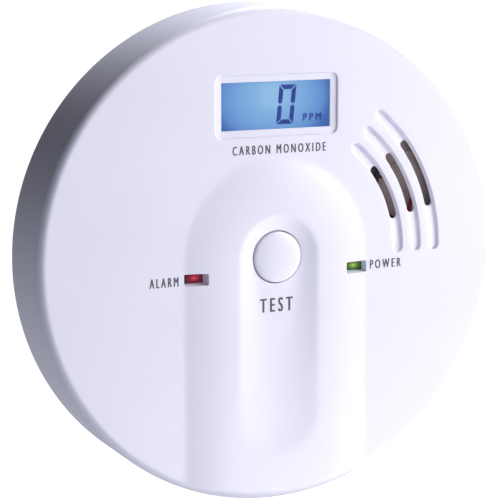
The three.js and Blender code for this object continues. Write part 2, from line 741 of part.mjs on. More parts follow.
function lcdFrame() {
  const inside = [LCD_HALF_WIDTH, LCD_HALF_HEIGHT].map((half) => 2 * (half + GAP));
  const outside = inside.map((size) => size + 2 * LCD_FRAME_WALL);
  return cut(
    post(...outside, ON_BOARD, FACE_INSIDE - SLIP, 0, DISPLAY_Y),
    post(...inside, ON_BOARD - PAST, FACE_INSIDE, 0, DISPLAY_Y),
  );
}

// ---- Lamps and electronics ------------------------------------------------------------------

// A lamp with a flat lens that is a little larger than its window.
function led(x) {
  const width = LED_WINDOW_WIDTH + 2 * LED_OVERLAP;
  const height = LED_WINDOW_HEIGHT + 2 * LED_OVERLAP;
  const foot = [width + 2 * LED_FOOT_STEP, height + 2 * LED_FOOT_STEP];
  const base = rectangle(width, height, x, LED_Y);
  const crown = rectangle(width - 2 * LED_CROWN, height - 2 * LED_CROWN, x, LED_Y);
  return join(
    post(...foot, ON_BOARD, ON_BOARD + LED_FOOT_HEIGHT, x, LED_Y),
    loft([
      raised(base, ON_BOARD + LED_FOOT_HEIGHT - ROOT),
      raised(base, LED_TIP - LED_CROWN),
      raised(crown, LED_TIP),
    ]),
  );
}

function mainBoard() {
  const low = BOARD_BACK - PAST;
  const high = BOARD_FRONT + PAST;
  return cut(
    disc(BOARD_RADIUS, BOARD_BACK, BOARD_FRONT, 0, 0, BODY_STEPS),
    ...discsAt(casePlaces, CASE_BOSS_RADIUS + SLIP, low, high),
    ...discsAt(boardPlaces, BOARD_SCREW.shank + GAP, low, high),
    ...terminals.map(tailSlot),
  );
}

function microcontroller() {
  const bottom = ON_BOARD + 0.2;
  const { pitch, width, length, height } = CHIP_LEG;
  const legs = [];
  for (let i = 0; i < CHIP_LEGS; i++) {
    const along = (i - (CHIP_LEGS - 1) / 2) * pitch;
    const across = CHIP_WIDTH + length;
    legs.push(post(across, width, ON_BOARD, ON_BOARD + height, 0, along));
    legs.push(post(width, across, ON_BOARD, ON_BOARD + height, along, 0));
  }
  return join(post(CHIP_WIDTH, CHIP_WIDTH, bottom, bottom + CHIP_HEIGHT), ...legs);
}

function boostCoil() {
  const low = ON_BOARD;
  const high = FACE_INSIDE - COIL_HEADROOM;
  const waist = COIL_RADIUS - COIL_WAIST;
  return turned([
    [0, low],
    [COIL_RADIUS, low],
    [COIL_RADIUS, low + COIL_FLANGE],
    [waist, low + COIL_FLANGE],
    [waist, high - COIL_FLANGE],
    [COIL_RADIUS, high - COIL_FLANGE],
    [COIL_RADIUS, high],
    [0, high],
  ]);
}

function capacitor() {
  const groove = ON_BOARD + CAPACITOR_GROOVE_HEIGHT;
  const high = FACE_INSIDE - CAPACITOR_HEADROOM;
  const chamfer = 0.25;
  return turned([
    [0, ON_BOARD],
    [CAPACITOR_RADIUS, ON_BOARD],
    [CAPACITOR_RADIUS, groove - chamfer],
    [CAPACITOR_RADIUS - chamfer, groove],
    [CAPACITOR_RADIUS, groove + chamfer],
    [CAPACITOR_RADIUS, high - chamfer],
    [CAPACITOR_RADIUS - chamfer, high],
    [0, high],
  ]);
}

// ---- Gas sensor -----------------------------------------------------------------------------

// The can hangs under the board, with its gas inlet towards the rear cover.
function sensorCan() {
  const top = BOARD_BACK - GAP;
  const bottom = SENSOR_CAP_BOTTOM + SENSOR_CAP_HEIGHT;
  const can = SENSOR_RADIUS - SENSOR_CRIMP;
  const crimp = top - 2 * SENSOR_CRIMP;
  return turned(
    [
      [0, bottom],
      [can - SENSOR_CRIMP, bottom],
      [can, bottom + SENSOR_CRIMP],
      [can, crimp],
      [SENSOR_RADIUS, crimp],
      [SENSOR_RADIUS, top],
      [0, top],
    ],
    MEDIUM_STEPS,
  );
}

function sensorCap() {
  const low = SENSOR_CAP_BOTTOM;
  const high = low + SENSOR_CAP_HEIGHT - GAP;
  const outside = SENSOR_RADIUS - SENSOR_CRIMP;
  const chamfer = 0.8;
  return turned(
    [
      [SENSOR_INLET_RADIUS, low],
      [outside - chamfer, low],
      [outside, low + chamfer],
      [outside, high],
      [SENSOR_INLET_RADIUS, high],
      [SENSOR_INLET_RADIUS, low],
    ],
    MEDIUM_STEPS,
  );
}

// ---- Sounder --------------------------------------------------------------------------------

// A notch for one lead in the housing's wall, about the sounder's axis.
function leadNotch(angle, low, high = SOUNDER_TOP + PAST) {
  const columns = [CERAMIC_RADIUS, SOUNDER_RADIUS + PAST];
  const rows = [-LEAD_NOTCH / 2, LEAD_NOTCH / 2];
  return block(columns, rows, [low, high]).rotate(0, 0, angle);
}

function sounderHousing() {
  const inside = SOUNDER_RADIUS - SOUNDER_WALL;
  const ledge = PIEZO_RADIUS - PIEZO_SEAT;
  const floor = ON_BOARD + SOUNDER_FLOOR;
  const cup = turned(
    [
      [0, ON_BOARD],
      [SOUNDER_RADIUS, ON_BOARD],
      [SOUNDER_RADIUS, SOUNDER_TOP],
      [inside, SOUNDER_TOP],
      [inside, PIEZO_BACK - GAP],
      [ledge, PIEZO_BACK - GAP],
      [ledge, floor],
      [0, floor],
    ],
    MEDIUM_STEPS,
  );
  return cut(
    cup,
    leadNotch(RED_LEAD.angle, RED_LEAD_Z - LEAD_RADIUS - GAP),
    leadNotch(BLACK_LEAD.angle, BLACK_LEAD_Z - LEAD_RADIUS - GAP),
  );
}

function piezoDisc() {
  return disc(PIEZO_RADIUS, PIEZO_BACK, PIEZO_FRONT, 0, 0, MEDIUM_STEPS);
}

function piezoCeramic() {
  return disc(CERAMIC_RADIUS, CERAMIC_BACK, CERAMIC_FRONT, 0, 0, MEDIUM_STEPS);
}

// The black lead passes under the gasket, so that the gasket stays in one piece.
function sounderGasket() {
  const outside = SOUNDER_RADIUS - SOUNDER_WALL - GAP;
  const inside = PIEZO_RADIUS - GASKET_SEAT;
  const low = PIEZO_FRONT + GAP;
  return cut(
    disc(outside, low, SOUNDER_TOP, 0, 0, MEDIUM_STEPS),
    disc(inside, low - PAST, SOUNDER_TOP + PAST, 0, 0, MEDIUM_STEPS),
    leadNotch(RED_LEAD.angle, low - PAST),
    leadNotch(BLACK_LEAD.angle, low - PAST, BLACK_LEAD_Z + LEAD_RADIUS + GAP),
  );
}

// A lead from its solder joint out through its notch and down to the board.
function sounderLead({ angle, joint }, height) {
  const [cos, sin] = onRing(1, angle);
  const at = (reach, z) => new THREE.Vector3(reach * cos, reach * sin, z);
  const outside = SOUNDER_RADIUS + LEAD_RADIUS + LEAD_DROP;
  const path = new THREE.CatmullRomCurve3([
    at(joint, height),
    at(PIEZO_RADIUS, height),
    at(outside - LEAD_DROP, height),
    at(outside, height - LEAD_DROP),
    at(outside, ON_BOARD + SLIP),
  ], false, "centripetal");
  return wire(path, LEAD_RADIUS, 14);
}

// ---- Rear cover -----------------------------------------------------------------------------

function hookSlot(angle) {
  const low = REAR_FACE - PAST;
  const high = REAR_INSIDE + PAST;
  const inner = HOOK_RADIUS - SLIP;
  const start = angle - TWIST - HOOK_SPAN / 2 - HOOK_CLEARANCE;
  const entryEnd = start + HOOK_SPAN + 2 * HOOK_CLEARANCE;
  const end = angle + HOOK_SPAN / 2 + HOOK_CLEARANCE;
  const slotOut = HOOK_RADIUS + HOOK_WALL + SLIP;
  return join(
    prism(sector(inner, slotOut + HOOK_LIP, start, entryEnd), low, high, 4),
    prism(sector(inner, slotOut, start, end), low, high, 8),
  );
}

function batteryTray() {
  const side = TRAY_HALF_LENGTH + TRAY_WALL;
  const rows = [TRAY_BOTTOM - TRAY_WALL, TRAY_TOP + TRAY_WALL];
  return block([-side, side], rows, [REAR_FACE + ROOT, TRAY_ROOF]);
}

function traySpace() {
  const side = TRAY_HALF_LENGTH;
  return block([-side, side], [TRAY_BOTTOM, TRAY_TOP], [REAR_FACE - PAST, TRAY_ROOF_INSIDE]);
}

// The door's upper corners close onto these two blocks.
function doorLedges() {
  const low = DOOR_INSIDE + GAP;
  const size = LATCH_LEDGE + ROOT;
  const x = TRAY_HALF_LENGTH + ROOT - size / 2;
  const y = TRAY_TOP + ROOT - size / 2;
  return [-x, x].map((place) => post(size, size, low, low + LATCH_LEDGE, place, y));
}

function rearCover() {
  const rim = REAR_RADIUS - REAR_RIM_WALL;
  const chamfer = 1;
  const shell = turned(
    [
      [0, REAR_FACE],
      [REAR_RADIUS - chamfer, REAR_FACE],
      [REAR_RADIUS, REAR_FACE + chamfer],
      [REAR_RADIUS, REAR_FACE + REAR_RIM_HEIGHT],
      [rim, REAR_FACE + REAR_RIM_HEIGHT],
      [rim, REAR_INSIDE],
      [0, REAR_INSIDE],
    ],
    BODY_STEPS,
  );
  const below = REAR_FACE - PAST;
  const headSeat = CASE_SCREW_SEAT + CASE_SCREW.headHeight + GAP;
  const labelSeat = [LABEL_WIDTH + 2 * SLIP, LABEL_HEIGHT + 2 * SLIP];
  const hingeHole = 2 * (TRAY_HALF_LENGTH + TRAY_WALL + PAST);
  return join(
    cut(
      join(
        shell,
        batteryTray(),
        ...discsAt(casePlaces, CASE_PAD_RADIUS, REAR_FACE + ROOT, CASE_BOSS_BOTTOM - GAP),
      ),
      traySpace(),
      axle(HINGE_PIN_RADIUS + GAP, hingeHole, HINGE_Y, HINGE_Z),
      ...HOOK_ANGLES.map(hookSlot),
      ...discsAt(casePlaces, CASE_SCREW.head + SLIP, below, headSeat),
      ...discsAt(casePlaces, CASE_SCREW.shank + SLIP, below, CASE_BOSS_BOTTOM + PAST),
      ...terminals.map(tailSlot),
      post(...labelSeat, below, REAR_FACE + LABEL_THICKNESS + GAP, 0, LABEL_Y),
      disc(FINGER_HOLLOW_RADIUS, below, REAR_FACE + FINGER_HOLLOW_DEPTH, 0, TRAY_TOP + TRAY_WALL),
    ),
    ...doorLedges(),
  );
}

function ratingLabel() {
  return post(LABEL_WIDTH, LABEL_HEIGHT, REAR_FACE, REAR_FACE + LABEL_THICKNESS, 0, LABEL_Y);
}

// ---- Battery door, cells and contacts -------------------------------------------------------

function batteryDoor() {
  const half = DOOR_HALF_LENGTH;
  const slitX = LATCH_WIDTH / 2 + LATCH_SLIT / 2;
  const slit = (x) =>
    post(LATCH_SLIT, 2 * LATCH_LENGTH, REAR_FACE - PAST, DOOR_INSIDE + PAST, x, DOOR_TOP);
  const ribs = Array.from({ length: GRIP_RIB_COUNT }, (_, row) => {
    const low = REAR_FACE - GRIP_RIB_HEIGHT;
    const y = DOOR_TOP - GRIP_RIB_PITCH * (row + 0.75);
    return post(LATCH_WIDTH - GRIP_RIB_PITCH, GRIP_RIB_WIDTH, low, REAR_FACE + ROOT, 0, y);
  });
  return join(
    cut(
      block([-half, half], [HINGE_Y, DOOR_TOP], [REAR_FACE, DOOR_INSIDE]),
      slit(-slitX),
      slit(slitX),
    ),
    axle(HINGE_RADIUS, 2 * half, HINGE_Y, HINGE_Z),
    axle(HINGE_PIN_RADIUS, 2 * (TRAY_HALF_LENGTH + TRAY_WALL - GAP), HINGE_Y, HINGE_Z),
    ...ribs,
  );
}

// A cell along z with its negative end at z = 0.
function cell() {
  const can = CELL_LENGTH - CELL_NUB_LENGTH;
  return turned([
    [0, 0],
    [CELL_RADIUS - CELL_EDGE_CHAMFER, 0],
    [CELL_RADIUS, CELL_EDGE_CHAMFER],
    [CELL_RADIUS, can - CELL_EDGE_CHAMFER],
    [CELL_RADIUS - CELL_EDGE_CHAMFER, can],
    [CELL_NUB_RADIUS, can],
    [CELL_NUB_RADIUS, CELL_LENGTH],
    [0, CELL_LENGTH],
  ]);
}

// Cells are numbered from the top, and their positive ends point right, left and right.
const cellY = (index) => ((CELL_COUNT - 1) / 2 - index) * CELL_PITCH;
const cellSide = (index) => (index % 2 === 0 ? 1 : -1);
const contactX = TRAY_HALF_LENGTH - GAP - CONTACT_THICKNESS;
const cellEnd = contactX - GAP;
const terminals = [
  { name: "battery_contact_plus", side: 1, y: cellY(0) },
  { name: "battery_contact_minus", side: -1, y: cellY(CELL_COUNT - 1) },
];

// A flat contact on the tray's end wall, from an upper row of cells to a lower one.
function contactPlate(side, upper, lower) {
  const half = CELL_RADIUS - CONTACT_INSET;
  const x = side * (contactX + CONTACT_THICKNESS / 2);
  const height = upper - lower + 2 * half;
  return post(
    CONTACT_THICKNESS,
    height,
    CELL_AXIS - half,
    CELL_AXIS + half,
    x,
    (upper + lower) / 2,
  );
}

// A terminal is a contact whose tail runs through the tray's roof and the board.
function terminalPlate({ side, y }) {
  const x = side * (contactX + CONTACT_THICKNESS / 2);
  const top = BOARD_FRONT + CONTACT_TAIL_REACH;
  const tail = post(CONTACT_THICKNESS, CONTACT_TAIL_WIDTH, CELL_AXIS, top, x, y);
  return join(contactPlate(side, y, y), tail);
}

function tailSlot({ side, y }) {
  const x = side * (contactX + CONTACT_THICKNESS / 2);
  const [thickness, width] = [CONTACT_THICKNESS, CONTACT_TAIL_WIDTH].map((size) => size + 2 * GAP);
  return post(thickness, width, CELL_AXIS, BOARD_FRONT + PAST, x, y);
}

// A cone of wire from the contact plate at z = 0 to the cell's negative end.
function cellSpring() {
  const low = GAP + CELL_SPRING_WIRE;
  const high = CELL_SPRING_LENGTH - CELL_SPRING_WIRE;
  const coil = new Coil(CELL_SPRING_BASE, CELL_SPRING_TIP, low, high, CELL_SPRING_TURNS);
  return wire(coil, CELL_SPRING_WIRE, 30);
}

// ---- Wall bracket ---------------------------------------------------------------------------

function hook(angle) {
  const from = angle - HOOK_SPAN / 2;
  const to = angle + HOOK_SPAN / 2;
  const lipLow = REAR_INSIDE + SLIP;
  const lipHigh = lipLow + HOOK_LIP_THICKNESS;
  const postOut = HOOK_RADIUS + HOOK_WALL;
  return join(
    prism(sector(HOOK_RADIUS, postOut, from, to), BRACKET_WALL - ROOT, lipHigh, 4),
    prism(sector(postOut - ROOT, postOut + HOOK_LIP, from, to), lipLow, lipHigh, 4),
  );
}

function wallSlot(angle) {
  const radius = BRACKET_RADIUS - WALL_SLOT_INSET;
  const span = [angle - WALL_SLOT_SPAN / 2, angle + WALL_SLOT_SPAN / 2];
  const slot = (width, low) => {
    const shape = new THREE.Shape(arcSlot(radius, width, span));
    return prism(shape, low, BRACKET_WALL + PAST);
  };
  return join(
    slot(WALL_SLOT_WIDTH, -PAST),
    slot(COUNTERSINK_WIDTH, BRACKET_WALL - COUNTERSINK_DEPTH),
  );
}

function mountingBracket() {
  const inner = BRACKET_RADIUS - BRACKET_WIDTH;
  const rim = BRACKET_RADIUS - BRACKET_RIM_WALL;
  const ring = turned(
    [
      [inner, 0],
      [BRACKET_RADIUS, 0],
      [BRACKET_RADIUS, REAR_FACE - SLIP],
      [rim, REAR_FACE - SLIP],
      [rim, BRACKET_WALL],
      [inner, BRACKET_WALL],
      [inner, 0],
    ],
    BODY_STEPS,
  );
  return join(cut(ring, ...WALL_SLOT_ANGLES.map(wallSlot)), ...HOOK_ANGLES.map(hook));
}

// ---- Assembly -------------------------------------------------------------------------------

const LOOKS = {
  housing: [0xe6e5f0, 0.45, 0],
  bracket: [0xdcdce4, 0.55, 0],
  lens: [0xbfd4ee, 0.08, 0],
  lcd: [0x5b9bd8, 0.15, 0],
  lightGuide: [0xeef3fa, 0.3, 0],
  frame: [0xf2f2f2, 0.5, 0],
  rubber: [0x2a2a2c, 0.9, 0],
  board: [0x1f6b3a, 0.4, 0],
  chip: [0x1b1b1d, 0.5, 0],
  copper: [0xb87333, 0.35, 1],
  steel: [0xb8bbc0, 0.3, 1],
  brass: [0x8a7c70, 0.4, 1],
  ceramic: [0xd8d6d0, 0.5, 0],
  redLens: [0xd01818, 0.15, 0],
  greenLens: [0x6fae2a, 0.15, 0],
  redWire: [0xa81818, 0.6, 0],
  blackWire: [0x1a1a1a, 0.6, 0],
  cell: [0x2e5f9e, 0.35, 0.3],
  capacitor: [0xaeb4bc, 0.3, 0.8],
  sensor: [0xd9d9d4, 0.45, 0],
  label: [0xf7f7f4, 0.6, 0],
};

const alarm = new THREE.Group();

function place(name, solid, look, { position = [0, 0, 0], rotation = [0, 0, 0] } = {}) {
  const [color, roughness, metalness] = LOOKS[look];
  const material = new THREE.MeshStandardMaterial({ color, roughness, metalness });
  const mesh = new THREE.Mesh(geometryOf(solid), material);
  mesh.name = name;
  mesh.position.set(...position);
  mesh.rotation.set(...rotation);
  alarm.add(mesh);
}

function placeScrews(name, places, size, seat) {
  places.forEach(([x, y], index) => {
    place(`${name}_${index + 1}`, screw(size), "steel", { position: [x, y, seat] });
  });
}

function placeCase() {
  place("mounting_bracket", mountingBracket(), "bracket");
  place("rear_cover", rearCover(), "housing");
  place("front_cover", frontCover(), "housing");
  place("rating_label", ratingLabel(), "label");
  placeScrews("case_screw", casePlaces, CASE_SCREW, CASE_SCREW_SEAT);
}

function placeControls() {
  place("test_button", testButton(), "housing");
  place("button_return_spring", returnSpring(), "steel");
  place("test_switch_body", switchBody(), "chip");
  place("test_switch_plunger", switchPlunger(), "chip");
  place("display_lens", displayLens(), "lens");
  place("lcd_panel", lcdPanel(), "lcd");
  place("lcd_backlight", lcdBacklight(), "lightGuide");
  place("lcd_frame", lcdFrame(), "frame");
  place("lcd_connector", lcdConnector(), "rubber");
  place("alarm_led_red", led(-LED_X), "redLens");
  place("power_led_green", led(LED_X), "greenLens");
}

function placeElectronics() {
  place("main_board", mainBoard(), "board");
  place("microcontroller", microcontroller(), "chip", { position: [...CHIP_PLACE, 0] });
  place("boost_coil", boostCoil(), "copper", { position: [...COIL_PLACE, 0] });
  place("filter_capacitor", capacitor(), "capacitor", { position: [...CAPACITOR_PLACE, 0] });
  placeScrews("board_screw", boardPlaces, BOARD_SCREW, BOARD_SCREW_SEAT);
  const position = [...SENSOR_PLACE, 0];
  place("co_sensor", sensorCan(), "sensor", { position });
  place("co_sensor_cap", sensorCap(), "steel", { position });
}

function placeSounder() {
  const position = [...SOUNDER_PLACE, 0];
  place("sounder_housing", sounderHousing(), "chip", { position });
  place("sounder_gasket", sounderGasket(), "rubber", { position });
  place("piezo_disc", piezoDisc(), "brass", { position });
  place("piezo_ceramic", piezoCeramic(), "ceramic", { position });
  place("sounder_lead_red", sounderLead(RED_LEAD, RED_LEAD_Z), "redWire", { position });
  place("sounder_lead_black", sounderLead(BLACK_LEAD, BLACK_LEAD_Z), "blackWire", { position });
}

function placeBatteries() {
  place("battery_door", batteryDoor(), "housing");
  for (let index = 0; index < CELL_COUNT; index++) {
    const side = cellSide(index);
    const rotation = [0, (side * Math.PI) / 2, 0];
    const at = (x) => ({ position: [x, cellY(index), CELL_AXIS], rotation });
    place(`battery_cell_${index + 1}`, cell(), "cell", at(side * (cellEnd - CELL_LENGTH)));
    place(`battery_spring_${index + 1}`, cellSpring(), "steel", at(-side * contactX));
  }
  for (const terminal of terminals) place(terminal.name, terminalPlate(terminal), "steel");
  for (let index = 0; index + 1 < CELL_COUNT; index++) {
    const bridge = contactPlate(-cellSide(index), cellY(index), cellY(index + 1));
    place(`battery_bridge_${index + 1}`, bridge, "steel");
  }
}

placeCase();
placeControls();
placeElectronics();
placeSounder();
placeBatteries();

const part = new THREE.Group();
alarm.rotation.x = Math.PI / 2;
part.add(alarm);

export default part;
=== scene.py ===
"""Looks of a round wall-mounted carbon monoxide alarm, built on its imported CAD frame.

Shapes are laid out as someone in the room sees the alarm: x to the right, y up and z out of the
wall, in millimetres. in_frame() turns that layout into the frame, which is in metres.
"""

import json
import math
from typing import Callable, NamedTuple

import bmesh
import bpy
import numpy as np
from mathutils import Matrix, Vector
from mathutils.geometry import delaunay_2d_cdt


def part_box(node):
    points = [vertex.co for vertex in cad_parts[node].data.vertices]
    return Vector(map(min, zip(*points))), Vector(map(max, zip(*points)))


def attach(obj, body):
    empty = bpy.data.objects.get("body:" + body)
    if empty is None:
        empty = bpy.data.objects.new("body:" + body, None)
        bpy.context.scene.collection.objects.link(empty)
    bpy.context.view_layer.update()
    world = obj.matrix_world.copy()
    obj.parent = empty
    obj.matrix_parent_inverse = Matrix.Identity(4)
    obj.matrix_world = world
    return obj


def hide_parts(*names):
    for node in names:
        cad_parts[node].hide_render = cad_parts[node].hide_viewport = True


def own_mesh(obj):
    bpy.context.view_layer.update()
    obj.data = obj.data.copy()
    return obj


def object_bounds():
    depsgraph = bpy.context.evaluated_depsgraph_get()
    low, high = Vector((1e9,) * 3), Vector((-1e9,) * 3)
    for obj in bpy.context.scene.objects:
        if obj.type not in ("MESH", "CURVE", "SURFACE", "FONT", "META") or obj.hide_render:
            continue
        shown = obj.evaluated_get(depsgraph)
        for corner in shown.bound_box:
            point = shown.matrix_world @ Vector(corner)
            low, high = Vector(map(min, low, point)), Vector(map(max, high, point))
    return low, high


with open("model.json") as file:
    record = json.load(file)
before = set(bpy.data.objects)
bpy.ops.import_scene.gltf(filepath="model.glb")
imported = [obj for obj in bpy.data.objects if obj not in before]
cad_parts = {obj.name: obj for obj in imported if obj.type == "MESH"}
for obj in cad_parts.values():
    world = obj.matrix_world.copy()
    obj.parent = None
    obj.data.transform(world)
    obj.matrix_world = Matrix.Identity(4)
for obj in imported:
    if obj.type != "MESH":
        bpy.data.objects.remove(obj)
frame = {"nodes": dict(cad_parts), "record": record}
cad_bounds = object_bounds()

MM = 0.001


def span(node):
    """Lowest and highest corner of a CAD node in the layout."""
    low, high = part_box(node)
    return (
        np.array([low.x, low.z, -high.y]) / MM,
        np.array([high.x, high.z, -low.y]) / MM,
    )


def middle(node):
    low, high = span(node)
    return (low + high) / 2


# ---- Sizes from the frame ----

SLOTS = {part["node"]: part["material_slot"] for part in frame["record"]["subparts"]}

cover_low, cover_high = span("front_cover")
lens_low, lens_high = span("display_lens")
lcd_low, lcd_high = span("lcd_panel")
button_low, button_high = span("test_button")
RADIUS = cover_high[0]
BACK_EDGE = cover_low[2]
CREST = cover_high[2]

# ---- Front cover ----

RIDGE_HEIGHT = 1.8
FACE = CREST - RIDGE_HEIGHT
FACE_WALL = 2.4
INSIDE = FACE - FACE_WALL
SIDE_WALL = 2.2
INNER_CHAMFER = 1.5
RIM_ROUND = 2.3
BACK_ROUND = 0.4  # on the side wall's back edge
RIDGE_RADIUS = 27.9  # the foot of the arched ridge
SCOOP_RADIUS = 12.2
SCOOP_LENGTH = 44.5
SCOOP_DEPTH = 2.6  # at the button
SCOOP_END_DEPTH = 1.2
FOOT_BLEND = 0.25
CREST_BLEND = 0.35

WINDOW = (33.1, 13.2)
BEZEL_SLOPE = 1.9
BEZEL_DEPTH = 0.8
LENS_PLAY = 0.4
LENS_GAP = 0.3  # between the lens and the seat behind it
LENS_SEAT = lens_high[2] + LENS_GAP
LENS_BEVEL = 0.15
PANEL_BEVEL = 0.1
LED_WINDOW = (6.1, 2.6)
LED_WINDOW_SLOPE = 0.37
GROOVE_RADII = (38.3, 44.2, 50.1)
GROOVE_HALF_WIDTH = 1.25  # at the groove's floor
GROOVE_SLOPE = 0.3
GROOVE_DEPTH = 0.9
GROOVE_ANGLES = (0.3, 49.9)
SLOT_HALF_WIDTH = 1.15
SLOT_ANGLES = (14.5, 36.3)
SLOT_LAND = 0.45  # the straight part of a slot, which widens below it
SLOT_FLARE = 0.6
SLOT_EDGE = FACE - GROOVE_DEPTH - SLOT_LAND
DRAFT = 0.04

# ---- Button, lamps, springs and cells ----

BUTTON_HOLE = 7.45
BUTTON_CAP = 7.22
BUTTON_CROWN = 1
DOME_SHARE = 0.95  # how much of the cap's radius is dome; the rest is its rounded edge
DOME_DROP = 0.75
DOME_CURVE = 2.4
CAP_EDGE = 0.7
CAP_EDGE_DROP = 0.45
CAP_WALL = 1.5
CAP_CEILING = 1.6  # above the flange
CAP_CREASE = 0.15
FLANGE_LOW = INSIDE - 1.5
FLANGE_TOP = INSIDE - 0.3
STEM_RADIUS = 2.35

LAMP_FOOT = (0.4, 1)  # the foot's step beyond the lens and its height
LAMP_CROWN = 0.5
LAMP_CORNER = 0.5
LAMP_SPOT = 0.6  # the bright spot to the right of the lamp's middle
LAMP_SPOT_DEPTH = 0.4
LAMP_GLOW = 3.1  # how far the glow reaches from the spot
LAMP_SQUEEZE = (1, 1, 1.7)  # the glow is wider than it is high

BUTTON_WIRE = 0.24  # radius of the wire
BUTTON_TURNS = 4.5
BATTERY_WIRE = 0.28
BATTERY_TURNS = 4
BATTERY_SPRING_TIP = 2  # radius of the end that touches the cell
CLOSING_TURNS = 0.75  # at each end of a spring, closer together than the rest
CLOSING_PITCH = 2.1  # of these turns, in wire radii

CELL_NUB = (1.9, 1.1)  # radius and length
CELL_SHOULDER = (0.9, 1.1)  # the crimp's step at its outer and its inner side
CELL_CRIMP = 0.3
CELL_RIM = (1.3, 1.6)  # the raised ring on the minus end, from the cell's radius inwards
CELL_DISH = 0.15
CELL_ROUND = 0.35
CELL_PLUS_SIDE = {1: 1, 2: -1, 3: 1}
SLEEVE_REACH = 24.5  # of the printed sleeve's pattern, from the middle

# ---- Display and printing ----

DIGIT_HEIGHT = 11
DIGIT_WIDTH = 5.2
DIGIT_STROKE = 1.3
DIGIT_GAP = 0.2
DIGIT_SLANT = math.tan(math.radians(5.5))
DIGIT_PLACE = (4.0, 42.4)
DIGIT_LIFT = (0.02, 0.08)  # its back and its front, above the panel
UNIT_LIFT = 0.05
UNIT_DEPTH = 0.04
UNIT_BOLD = 0.15
INK = 0.03  # how far printing stands above its surface
INK_DEPTH = 0.06
LETTER_SPACING = 1.6
BOLD = 0.075  # how much wider the letters' strokes are made, in letter heights

LABELS = {
    # name: text, place of its middle, letter height and width of the line
    "print_test": ("TEST", (-0.2, -13.6), 4.0, 10.2),
    "print_alarm": ("ALARM", (-34.1, -4.8), 2.6, 8.6),
    "print_power": ("POWER", (34.3, -4.3), 2.6, 10.1),
    "print_gas": ("CARBON MONOXIDE", (0.7, 30.4), 2.5, 28.6),
}
UNIT = ("PPM", (12.0, 38.6), 2.1, 5.8)

# ---- How fine the meshes are ----

SMOOTH_ANGLE = math.radians(24)
CAD_SMOOTH_ANGLE = math.radians(35)
CAD_EDGE_ANGLE = math.radians(50)
CAD_EDGE = 0.12
RIM_STEPS = 360
RIM_ROWS = 18
LIP_STEPS = 6
SIDE_ROWS = 6
HOLE_STEPS = 120
ARC_STEPS = 90
BUTTON_STEPS = 96
DOME_ROWS = 16
CELL_STEPS = 64
WIRE_SIDES = 12
COIL_STEPS = 48  # for each turn
OUTLINE_PITCH = 0.6
FACE_PITCH = 2.2
FACE_GAP = 1.5  # between the ridge's foot and the flat face's loose points
SCOOP_EDGE = (11.4, 12.6)  # from the ridge's middle line, with rows close together
RIDGE_FOOT = (27.2, 28.6)
CLOSE_ROWS = 0.2
WIDE_ROWS = 0.8
RIDGE_PITCH = 0.9
SCOOP_PITCH = 0.8
SCOOP_SHARES = (0.05, 0.96, 0.06)  # of its radius: first, last and step
LOWER_RIDGE = 10.8  # half the width of the grid of points below the scoop
WIDE_SLOPE = 1  # a wider slope has rows of points of its own
SLOPE_SHARES = (0.05, 0.25, 0.5, 0.75, 0.95)
LIP_CLEARANCE = 0.15
FLOOR_CLEARANCE = 0.3

# ---- Camera and light ----

CAMERA_AZIMUTH = math.radians(-25.04)
CAMERA_ELEVATION = math.radians(9.99)
CAMERA_DISTANCE = 7.983 * RADIUS
CAMERA_LENS = 143.76
AIM_LEFT = 0.01357  # of the distance, from the middle of the face
AIM_UP = 0.00341

LIGHTS = {
    # name: azimuth and elevation in degrees, distance and size in metres, watts and colour
    "key": (52, 24, 0.6, (0.3, 0.3), 3.6, (1, 0.99, 0.98)),
    "front_fill": (-6, 4, 1.2, (0.5, 0.5), 2.0, (0.74, 0.78, 1)),
    "table_bounce": (36, -44, 0.28, (0.25, 0.2), 0.3, (1, 0.98, 0.98)),
    "rim_light": (118, 52, 0.6, (0.3, 0.3), 6.3, (0.9, 0.93, 1)),
}
FLOOR_DROP = 0.25  # metres below the alarm
FLOOR_REACH = 60  # metres to each side

# ---- Finishes ----

PLASTICS = {
    "housing_plastic": dict(colour=(0.80, 0.785, 0.88), roughness=0.36, coat=0.15),
    "button_plastic": dict(colour=(0.80, 0.785, 0.88), roughness=0.33, coat=0.2),
    "bracket_plastic": dict(colour=(0.66, 0.65, 0.71), roughness=0.5),
    "white_plastic": dict(colour=(0.78, 0.78, 0.77), roughness=0.45),
    "black_plastic": dict(colour=(0.022, 0.022, 0.024), roughness=0.42, grain=0.00002),
    "rubber": dict(colour=(0.018, 0.017, 0.017), roughness=0.75, grain=0.00004),
    "light_guide": dict(colour=(0.75, 0.80, 0.86), roughness=0.2),
    "ink": dict(colour=(0.085, 0.08, 0.095), roughness=0.55, grain=0.00002),
    "piezo_brass": dict(colour=(0.40, 0.315, 0.28), roughness=0.42, grain=0.00003, coat=0.3),
    "piezo_ceramic": dict(colour=(0.39, 0.32, 0.29), roughness=0.5, grain=0.00003),
    "red_wire": dict(colour=(0.32, 0.012, 0.012), roughness=0.5, grain=0.00002),
    "black_wire": dict(colour=(0.02, 0.02, 0.02), roughness=0.5, grain=0.00002),
    "label": dict(colour=(0.82, 0.81, 0.78), roughness=0.6, grain=0.00003),
}
METALS = {
    "copper_winding": dict(colour=(0.72, 0.32, 0.14), roughness=0.32, streak=(1, 14, 1)),
    "capacitor_can": dict(colour=(0.62, 0.63, 0.66), roughness=0.28, streak=(8, 1, 8)),
    "screw_steel": dict(colour=(0.56, 0.56, 0.58), roughness=0.3, streak=(4, 4, 1)),
    "spring_steel": dict(colour=(0.60, 0.60, 0.60), roughness=0.26, streak=(1, 1, 6)),
}
